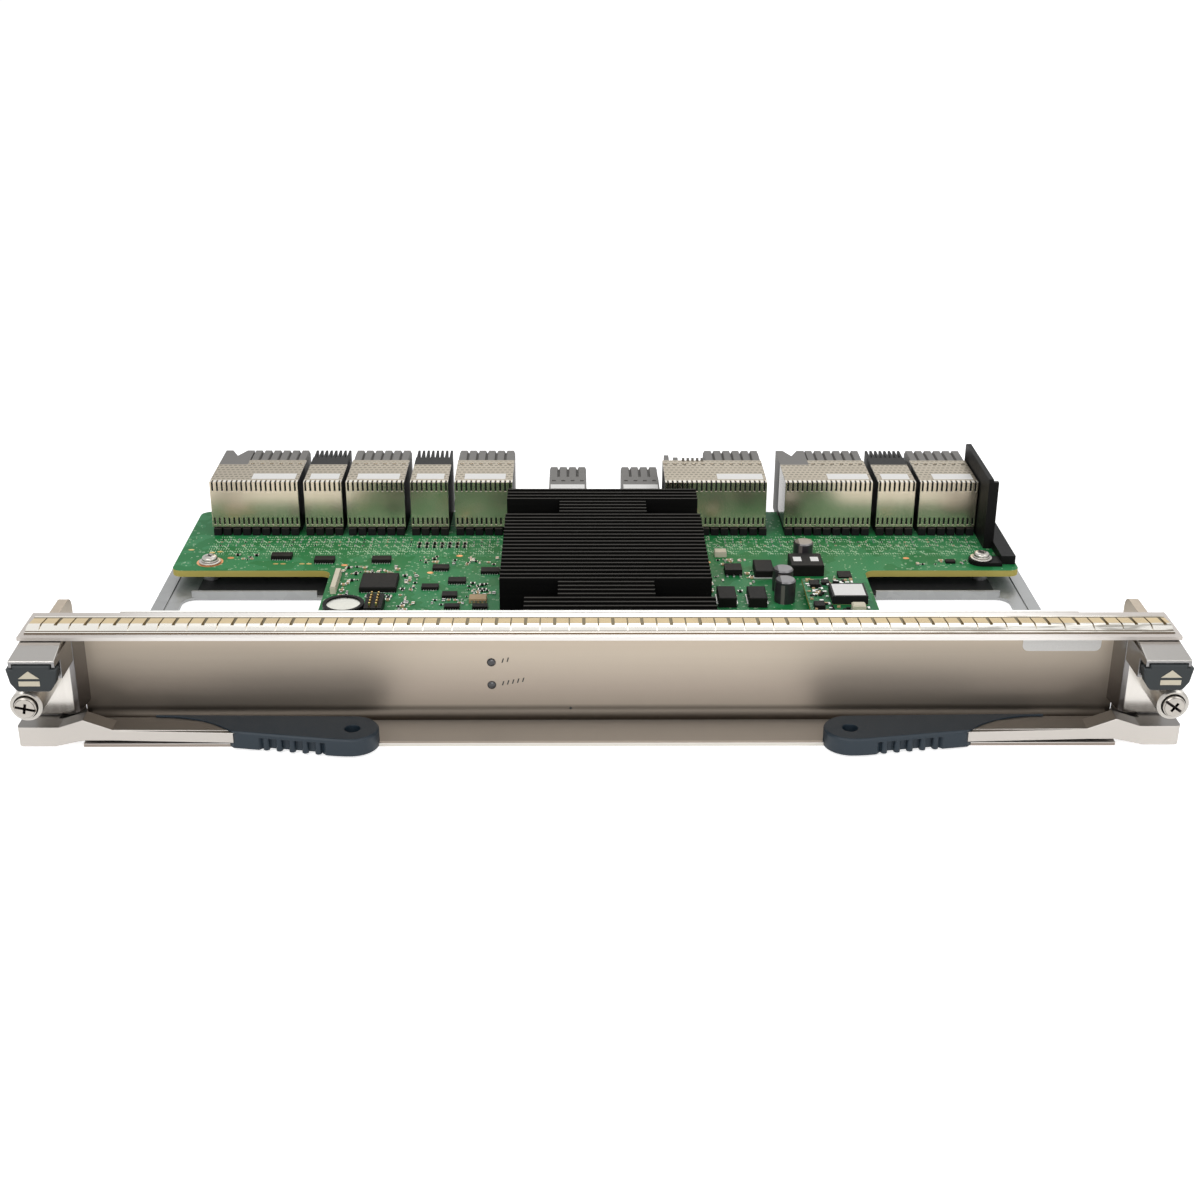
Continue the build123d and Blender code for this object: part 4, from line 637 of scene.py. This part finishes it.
# Left, right, front and rear of each small chip and of the processor
LEGGED_CHIPS = [
    (-131.0, -122.8, 141.9, 146.3), (-113.2, -105.2, 138.0, 142.4), (-90.2, -82.6, 138.2, 142.6),
    (-65.3, -58.8, 130.2, 134.6), (-58.3, -51.4, 117.0, 121.6), (-68.2, -61.6, 111.2, 115.0),
    (-46.0, -38.6, 127.0, 131.5), (-59.8, -54.0, 103.2, 107.6), (-58.2, -52.4, 92.8, 96.0),
    (-47.6, -41.8, 92.8, 96.0), (95.0, 100.2, 121.0, 127.0),
]
PROCESSOR = (-92.0, -77.7, 108.8, 123.5)


def chip_legs():
    """Tinned legs along two sides of each chip."""
    form = Form()
    for left, right, front, rear in LEGGED_CHIPS:
        count = int((right - left) / LEG_PITCH)
        first = (left + right) / 2 - (count - 1) * (LEG_PITCH / 2)
        for index in range(count):
            x = first + index * LEG_PITCH
            for y in ((front - LEG_LENGTH, front), (rear, rear + LEG_LENGTH)):
                form.block((x - LEG_HALF, x + LEG_HALF), y, on_board(LEG_HEIGHT), 0, 0.05)
    for x in (51.4, 54.0, 56.6):
        form.block((x - 0.4, x + 0.4), (123.4, 125.5), on_board(0.6), 0, 0.1)
    left, _, front, rear = PROCESSOR
    for index in range(22):
        along = 0.9 + index * FINE_PITCH
        for y in ((front - FINE_LENGTH, front), (rear, rear + FINE_LENGTH)):
            form.block((left + along, left + along + FINE_WIDTH), y, on_board(FINE_HEIGHT), 0, 0.05)
    return form.made("chip_legs", "module", ["tin"], "screw_metal")


# Length, width and height of the parts in a zone, the second size twice as common
PART_SIZES = [(1.0, 0.5, 0.35), (1.6, 0.8, 0.5), (1.6, 0.8, 0.5), (2.0, 1.25, 0.7)]
CAP_SHARE, CAP_GROW = 0.22, 0.02

# Left, right, front, rear and how many parts
PART_ZONES = [
    (-100.5, -79.0, 125.5, 135.0, 34), (-99.0, -94.0, 104.0, 122.0, 16),
    (-76.0, -70.0, 84.0, 128.0, 46), (-64.0, -50.0, 96.5, 101.5, 12),
    (-50.5, -39.5, 104.5, 117.0, 26), (-80.0, -60.0, 84.0, 91.0, 14),
    (-90.0, -79.0, 101.0, 106.0, 12), (-72.0, -40.0, 135.5, 145.0, 26),
    (-60.0, -40.0, 84.0, 91.0, 12), (41.5, 49.5, 109.0, 126.0, 14),
    (58.5, 61.5, 110.0, 133.0, 10), (47.0, 60.0, 136.0, 142.0, 12),
    (44.0, 66.0, 108.5, 111.5, 10), (128.0, 139.5, 136.5, 140.5, 5),
    (146.0, 149.0, 136.5, 140.5, 3), (88.0, 93.5, 115.5, 123.0, 6),
    (-146.0, -137.0, 141.0, 146.5, 7),
]


def small_parts():
    """Surface-mount resistors and capacitors, seeded so that every run is the same."""
    form = Form()
    rng = random.Random(7)

    def chip(x, y, along_x, size, body):
        length, width, height = size
        half, side = length / 2, width / 2
        cap = length * CAP_SHARE
        for low, high, colour in ((-half, -half + cap, 0), (-half + cap, half - cap, body),
                                  (half - cap, half, 0)):
            grow = CAP_GROW if colour == 0 else 0.0
            if along_x:
                spans = (x + low, x + high), (y - side - grow, y + side + grow)
            else:
                spans = (x - side - grow, x + side + grow), (y + low, y + high)
            form.block(*spans, (BOARD_TOP, BOARD_TOP + height + grow), colour, 0.05)

    for row, y in enumerate((163.4, 160.2, 156.8)):
        for index in range(96):
            x = -154.0 + index * 3.24
            if -36 < x < 41 and y < 154 or rng.random() < 0.15:
                continue
            chip(x, y + (row % 2) * 0.4, index % 3 == 0, (1.0, 0.5, 0.35),
                 1 if rng.random() < 0.5 else 2)
    for index in range(14):
        chip(-72.5 + (index % 7) * 3.1, 158.4 - (index // 7) * 3.4, True, (1.9, 1.1, 0.8), 1)
    for left, right, front, rear, count in PART_ZONES:
        for _ in range(count):
            size = rng.choice(PART_SIZES)
            chip(rng.uniform(left, right), rng.uniform(front, rear), rng.random() < 0.5, size,
                 rng.choice([1, 1, 2, 2]))
    return form.made("small_parts", "module", ["tin", "chip", "tan"], "chip_black")


def test_pads():
    """Bare copper ovals and the ring round one board screw."""
    form = Form()

    def oval(x, y, rx, ry, colour, height=0.04):
        angles = [2 * math.pi * step / 20 for step in range(20)]
        points = [(x + rx * math.cos(a), y + ry * math.sin(a)) for a in angles]
        form.prism(points, "Z", on_board(height), colour)

    for x, y in ((-147.5, 143.8), (-100.8, 136.2), (-55.5, 146.0), (44.5, 139.0), (-66.0, 128.5),
                 (125.5, 143.5)):
        oval(x, y, 1.3, 1.0, 0)
    for x in (-128.5, -125.5, -118.0, -115.2):
        oval(x, 137.6, 1.1, 0.6, 1)
    for x, y in ((-165.0, 152.5), (-156.0, 149.5), (-153.0, 150.5)):
        oval(x, y, 1.2, 0.7, 1)
    oval(-155.0, 139.5, 5.3, 5.3, 0, 0.05)
    return form.made("test_pads", "module", ["copper", "gold"], "screw_metal")


# Pairs of radius and height, each from the foot of its own piece
FLAT_WASHER = [(1.5, 0), (4.4, 0), (4.4, 0.55), (4.15, 0.7), (1.5, 0.7)]
SPLIT_WASHER = [(1.5, 0), (3.5, 0), (3.5, 0.45), (3.3, 0.55), (1.5, 0.55)]
PAN_HEAD = [(1.4, 0), (3.05, 0), (3.15, 0.25), (3.1, 0.8), (2.85, 1.3), (2.3, 1.62), (1.5, 1.74),
            (0.9, 1.74), (0.7, 1.55), (0.45, 0.9), (0.05, 0.8)]
SPLIT_FOOT, HEAD_FOOT = 0.7, 1.1
CROSS_LOW, CROSS_HIGH = 2.835, 2.86
CROSS_ARM = ((-1.7, -0.28), (1.7, -0.28), (1.7, 0.28), (-1.7, 0.28))


def board_screw_heads():
    """Pan-head screws with a split washer and a flat washer, and a thin dark cross on the head as
    painted shade for its recess.
    """
    form = Form()
    for x, y, seat in ((-155.0, 139.5, 8.2), (155.0, 139.5, 9.8), (-88.0, 36.0, 8.2),
                       (88.0, 36.0, 8.2)):
        low = seat + 0.06
        form.turned((x, y, low), "Z", FLAT_WASHER, 0, 40)
        form.turned((x, y, low + SPLIT_FOOT), "Z", SPLIT_WASHER, 0, 40)
        form.turned((x, y, low + HEAD_FOOT), "Z", PAN_HEAD, 0, 40)
        # Painted shade: a thin dark cross sheet on the head stands in for the recess.
        for turn in (0.5, 0.5 + math.pi / 2):
            c, s = math.cos(turn), math.sin(turn)
            points = [(x + a * c - b * s, y + a * s + b * c) for a, b in CROSS_ARM]
            form.prism(points, "Z", (low + CROSS_LOW, low + CROSS_HIGH), 1)
        form.turned((x, y, 1.3), "Z", [(1.35, 0), (1.35, low - 0.2)], 0, 24)
    return form.made("board_screw_heads", "module", ["screw", "dark"], "screw_metal",
                     ["board_screws"])


def daughter_parts():
    """The daughter board's small parts, its module's label and its cream plug."""
    form = Form()
    rng = random.Random(3)
    top = DAUGHTER_TOP
    for _ in range(150):
        x, y = rng.uniform(80.2, 101.0), rng.uniform(81.5, 111.8)
        if 86.8 < x < 102.5 and 86.5 < y < 101.6:
            continue
        a, b = rng.choice([(0.8, 0.45), (0.5, 0.9), (0.6, 0.35)])
        form.block((x - a, x + a), (y - b, y + b), (top, top + rng.uniform(0.4, 0.9)),
                   rng.choice([0, 1, 2]), 0.08)
    form.block((81.5, 85.0), (103.5, 108.0), (top, top + 1.6), 1)
    form.block((86.2, 89.2), (106.2, 109.6), (top, top + 1.2), 1)
    form.block((80.6, 84.6), (83.0, 87.5), (top, top + 1.8), 1)
    form.block((94.5, 99.6), (81.6, 85.4), (top, top + 2.4), 3, 0.5)
    form.block((88.7, 100.4), (88.9, 99.5), (top + 3.4, top + 3.46), 4, 0.01)
    return form.made("daughter_parts", "module", ["tin", "chip", "tan", "cream", "label"],
                     "chip_black")


def inductor_windows():
    """Two pale squares on the double inductor, and the tinned lips beside the inductors."""
    form = Form()
    for x in (78.0, 84.8):
        form.block((x, x + 3.2), (129.0, 133.4), (BOARD_TOP + 4.7, BOARD_TOP + 4.78), 0, 0.02)
    form.block((61.6, 70.2), (121.2, 122.0), on_board(0.8), 1, 0.1)
    for x in (45.0, 56.6):
        form.block((x, x + 0.6), (95.5, 104.5), on_board(1.2), 1, 0.1)
        form.block((x + 7.6, x + 8.2), (95.5, 104.5), on_board(1.2), 1, 0.1)
    return form.made("inductor_trim", "module", ["label", "tin"], "chip_black")


PIN_HALF, PIN_PITCH = 0.36, 2.54


def header_pins():
    """Gold tips on the pin header."""
    form = Form()
    for column in (-1, 1):
        x = -84.3 + column * (PIN_PITCH / 2)
        for index in range(5):
            y = 92.0 + (index - 2) * PIN_PITCH
            form.block((x - PIN_HALF, x + PIN_HALF), (y - PIN_HALF, y + PIN_HALF),
                       (BOARD_TOP + 4.0, BOARD_TOP + 5.56), 0, 0.15)
    return form.made("header_pins", "module", ["gold"], "screw_metal")


BLOCK_FOOT = BOARD_TOP + 0.05


def crystal_can():
    """Tan block with tinned teeth along its front, and two cream blocks."""
    form = Form()
    form.block((-49.1, -42.4), (98.4, 103.1), (BLOCK_FOOT, BOARD_TOP + 1.86), 0, 0.15)
    for x in (-48.0, -46.4, -44.8, -43.2):
        tooth = [(x - 0.6, BOARD_TOP + 1.2), (x + 0.6, BOARD_TOP + 1.2), (x, BLOCK_FOOT)]
        form.prism(tooth, "Y", (98.1, 98.4), 1)
    form.block((47.9, 52.7), (144.4, 148.6), (BLOCK_FOOT, BOARD_TOP + 2.26), 2, 0.2)
    form.block((-102.95, -100.75), (107.1, 126.1), (BLOCK_FOOT, BOARD_TOP + 3.06), 2, 0.2)
    return form.made("tan_blocks", "module", ["tan", "tin", "cream"], "chip_black")


# Connectors and panel trim

def connector_labels():
    """Blank white stickers on the connectors' tops."""
    form = Form()
    tall = [(-142.5, -124.5), (-118.5, -106.5), (-99.0, -81.5), (-74.5, -63.0), (-54.5, -37.5),
            (50.5, 69.5), (96.5, 113.5), (119.0, 130.5), (140.5, 157.0)]
    short = [(-19.0, -4.6), (11.8, 26.4)]
    for spans, rows, top in ((tall, (173.5, 179.9), CONNECTOR_TOP),
                             (short, (182.5, 187.5), SMALL_CONNECTOR_TOP)):
        for span in spans:
            form.block(span, rows, (top, top + 0.1), 0, 0.03)
    return form.made("connector_labels", "module", ["label"], "stiffener_metal")


def panel_label():
    """Blank sticker with round lower corners on the panel's web."""
    form = Form()
    left, right, top, low, radius = 142.0, 168.5, 30.3, 25.4, 2.0
    points = [(left, top), (right, top)]
    for centre_x, start in ((right - radius, 0), (left + radius, -90)):
        for step in range(7):
            angle = math.radians(start - step * 15)
            points.append((centre_x + radius * math.cos(angle),
                           low + radius + radius * math.sin(angle)))
    form.prism(points, "Y", (WEB_FRONT - 0.1, WEB_FRONT))
    return form.made("panel_label", "module", ["label"], "panel_metal")


# Pairs of radius and distance in front of the web
LIGHT_PIPE = [(1.5, 0.9), (1.5, -0.1), (1.42, -0.3), (1.05, -0.5), (0.5, -0.62), (0.05, -0.64)]


def indicator_lights():
    """Smoked light pipes in the two holes, with plain slanted marks beside them."""
    form = Form()
    for z in (21.3, 12.8):
        form.turned((-37.0, WEB_FRONT, z), "Y", LIGHT_PIPE, 0, 28)
    for z, count in ((21.9, 2), (13.4, 5)):
        for index in range(count):
            x = -33.6 + index * 1.7
            rise = z + index * 0.32
            mark = [(x, rise - 0.8), (x + 0.45, rise - 0.7), (x + 0.9, rise + 0.9),
                    (x + 0.45, rise + 0.8)]
            form.prism(mark, "Y", (WEB_FRONT - 0.05, WEB_FRONT), 1)
    form.turned((-10.3, WEB_FRONT, 4.0), "Y", [(0.45, 0), (0.45, -0.12), (0.05, -0.2)], 1, 16)
    return form.made("indicator_lights", "module", ["lens", "print"], "panel_metal")


def eject_marks(side):
    """Plain triangle over a bar, raised on the button's face."""
    form = Form()
    middle, half, face = side * 182.0, 3.35, -11.8
    depth = (face - 0.12, face + 0.1)
    left, right = middle - half, middle + half
    form.prism([(left, 30.9), (right, 30.9), (middle, 33.5)], "Y", depth)
    form.prism([(left, 28.3), (right, 28.3), (right, 30.0), (left, 30.0)], "Y", depth)
    name = "left" if side < 0 else "right"
    return form.made(f"eject_mark_{name}", f"button_{name}", ["symbol"], "button_plastic")


for make in (chip_legs, small_parts, test_pads, board_screw_heads, daughter_parts, inductor_windows,
             header_pins, crystal_can, connector_labels, panel_label, indicator_lights):
    make()
for end in (-1, 1):
    eject_marks(end)


# Camera, floor and light

SENSOR_WIDTH, PHOTO_WIDTH, FOCAL_PIXELS = 36, 1200, 1761.19
CAMERA_PITCH, CAMERA_YAW, CAMERA_ROLL = 23.765, 0.939, -0.3526
CAMERA_X, CAMERA_FRONT, CAMERA_RISE, PANEL_TOP = -0.00929, 0.515, 0.23993, 0.0398
FLOOR_HALF, FLOOR_DROP = 4.0, 0.0004

# Name, place, width and power of each lamp
LAMPS = (("key", (-0.7, -0.9, 1.3), 0.9, 8.0), ("fill", (0.9, -0.5, 1.1), 0.9, 4.0),
         ("front", (0.1, -1.5, 0.5), 0.8, 7.0), ("rear", (0.1, 1.1, 1.0), 0.9, 3.5))


def placed(name, data):
    """A new object in the scene."""
    made = bpy.data.objects.new(name, data)
    bpy.context.scene.collection.objects.link(made)
    return made


def photo_camera():
    """The photograph's viewpoint."""
    pitch, yaw, roll = (math.radians(angle) for angle in (CAMERA_PITCH, CAMERA_YAW, CAMERA_ROLL))
    forward = Vector((math.sin(yaw) * math.cos(pitch), math.cos(yaw) * math.cos(pitch),
                      -math.sin(pitch)))
    right = Vector((math.cos(yaw), -math.sin(yaw), 0))
    down = forward.cross(right)
    right, down = (math.cos(roll) * right + math.sin(roll) * down,
                   math.cos(roll) * down - math.sin(roll) * right)
    data = bpy.data.cameras.new("photo_camera")
    data.sensor_width = SENSOR_WIDTH
    data.lens = FOCAL_PIXELS * SENSOR_WIDTH / PHOTO_WIDTH
    data.clip_start = 0.01
    camera = placed("photo_camera", data)
    turn = Matrix((right, -down, -forward)).transposed().to_4x4()
    place = (CAMERA_X, LIP - CAMERA_FRONT, CAMERA_RISE + PANEL_TOP)
    camera.matrix_world = Matrix.Translation(place) @ turn
    bpy.context.scene.camera = camera


def pale_floor():
    """Floor that reads white but keeps the shadow."""
    data = bpy.data.meshes.new("floor")
    data.from_pydata([(-FLOOR_HALF, -FLOOR_HALF, 0), (FLOOR_HALF, -FLOOR_HALF, 0),
                      (FLOOR_HALF, FLOOR_HALF, 0), (-FLOOR_HALF, FLOOR_HALF, 0)],
                     [], [(0, 1, 2, 3)])
    floor = placed("floor", data)
    floor.location = (0, 0, -FLOOR_DROP)
    f = Finish("floor_white")
    matte = f.node("ShaderNodeBsdfDiffuse", None, {"Color": tone(0.80, 0.80, 0.80)})
    glow = f.node("ShaderNodeEmission", None, {"Color": tone(1, 1, 1), "Strength": 0.70})
    both = f.node("ShaderNodeAddShader", None, {0: matte, 1: glow})
    pick = f.node("ShaderNodeMixShader", None, {0: f.looked_at(), 1: matte, 2: both})
    f.node("ShaderNodeOutputMaterial", None, {"Surface": pick})
    data.materials.append(f.material)


def studio_light():
    """White surroundings to look at, softer ones to light with, and soft lamps."""
    f = Finish("studio", "worlds")
    bpy.context.scene.world = f.material
    soft, white = [f.node("ShaderNodeBackground", None, {"Color": tone(1, 1, 1), "Strength": power})
                   for power in (0.42, 1.0)]
    pick = f.node("ShaderNodeMixShader", None, {0: f.looked_at(), 1: soft, 2: white})
    f.node("ShaderNodeOutputWorld", None, {"Surface": pick})
    for name, place, size, power in LAMPS:
        data = bpy.data.lights.new(name, "AREA")
        data.energy = power
        data.size = size
        lamp = placed(name, data)
        direction = Vector((0, 0, 0.02)) - Vector(place)
        turn = direction.to_track_quat("-Z", "Y").to_matrix().to_4x4()
        lamp.matrix_world = Matrix.Translation(place) @ turn


photo_camera()
pale_floor()
studio_light()
bpy.context.scene.view_settings.view_transform = "Standard"
